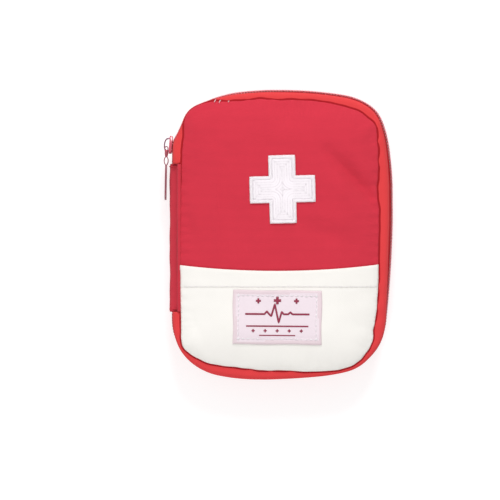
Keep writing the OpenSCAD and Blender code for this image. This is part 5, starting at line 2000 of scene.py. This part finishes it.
class POUCH_OT_bindings(bpy.types.Operator):
    """Builds the tapes over the raw seams"""
    bl_idname = "pouch.bindings"
    bl_label = "Bindings"

    def execute(self, context):
        build_bindings(context.scene)
        return {"FINISHED"}


class POUCH_OT_elastic(bpy.types.Operator):
    """Builds the elastic band and its stitches"""
    bl_idname = "pouch.elastic"
    bl_label = "Elastic loops"

    def execute(self, context):
        build_elastic(context.scene)
        return {"FINISHED"}


class POUCH_OT_bandages(bpy.types.Operator):
    """Builds the two crepe bandages"""
    bl_idname = "pouch.bandages"
    bl_label = "Bandage rolls"

    def execute(self, context):
        build_bandages(context.scene)
        return {"FINISHED"}


class POUCH_OT_tape_roll(bpy.types.Operator):
    """Builds the roll of plaster tape and its core"""
    bl_idname = "pouch.tape_roll"
    bl_label = "Tape roll"

    def execute(self, context):
        build_tape_roll(context.scene)
        return {"FINISHED"}


class POUCH_OT_gauze(bpy.types.Operator):
    """Builds the two packets of gauze"""
    bl_idname = "pouch.gauze"
    bl_label = "Gauze packets"

    def execute(self, context):
        build_gauze(context.scene)
        return {"FINISHED"}


class POUCH_OT_sachets(bpy.types.Operator):
    """Builds the two foil sachets"""
    bl_idname = "pouch.sachets"
    bl_label = "Wipe sachets"

    def execute(self, context):
        build_sachets(context.scene)
        return {"FINISHED"}


class POUCH_OT_plasters(bpy.types.Operator):
    """Builds the three wrapped plasters"""
    bl_idname = "pouch.plasters"
    bl_label = "Plasters"

    def execute(self, context):
        build_plasters(context.scene)
        return {"FINISHED"}


class POUCH_OT_tweezers(bpy.types.Operator):
    """Builds the tweezers"""
    bl_idname = "pouch.tweezers"
    bl_label = "Tweezers"

    def execute(self, context):
        build_tweezers(context.scene)
        return {"FINISHED"}


class POUCH_OT_net(bpy.types.Operator):
    """Builds the net pocket and its mouth"""
    bl_idname = "pouch.net"
    bl_label = "Net pocket"

    def execute(self, context):
        build_net(context.scene)
        return {"FINISHED"}


class POUCH_OT_end_tack(bpy.types.Operator):
    """Builds the tack across the end of the zip"""
    bl_idname = "pouch.end_tack"
    bl_label = "Zip end tack"

    def execute(self, context):
        build_end_tack(context.scene)
        return {"FINISHED"}


OPERATORS = [POUCH_OT_stage, POUCH_OT_front, POUCH_OT_groove, POUCH_OT_pocket, POUCH_OT_hem,
             POUCH_OT_cross, POUCH_OT_label, POUCH_OT_tapes, POUCH_OT_coils,
             POUCH_OT_slider, POUCH_OT_puller, POUCH_OT_spine, POUCH_OT_back,
             POUCH_OT_thread_ends, POUCH_OT_linings, POUCH_OT_bindings,
             POUCH_OT_elastic, POUCH_OT_bandages, POUCH_OT_tape_roll,
             POUCH_OT_gauze, POUCH_OT_sachets, POUCH_OT_plasters,
             POUCH_OT_tweezers, POUCH_OT_net, POUCH_OT_end_tack]


class POUCH_PT_pieces(bpy.types.Panel):
    """Lists the pieces of the pouch and their sizes"""
    bl_idname = "POUCH_PT_pieces"
    bl_label = "First Aid Pouch"
    bl_space_type = "VIEW_3D"
    bl_region_type = "UI"
    bl_category = "First Aid Pouch"

    def draw(self, context):
        for key, group in SETTINGS.items():
            box = self.layout.box()
            for prop in group.__annotations__:
                box.prop(getattr(context.scene, key), prop)
        for op in OPERATORS:
            self.layout.operator(op.bl_idname)


def register():
    for c in (*SETTINGS.values(), *OPERATORS, POUCH_PT_pieces):
        bpy.utils.register_class(c)
    for key, group in SETTINGS.items():
        setattr(bpy.types.Scene, key, PointerProperty(type=group))


def unregister():
    for key in SETTINGS:
        delattr(bpy.types.Scene, key)
    for c in (POUCH_PT_pieces, *reversed(OPERATORS), *reversed(list(SETTINGS.values()))):
        bpy.utils.unregister_class(c)


def main():
    """Makes every piece in order."""
    register()
    WORK["line"] = ZipLine(bpy.context.scene.pouch_shape)
    for op in OPERATORS:
        getattr(bpy.ops.pouch, op.bl_idname.split(".")[1])()


if __name__ == "__main__":
    main()
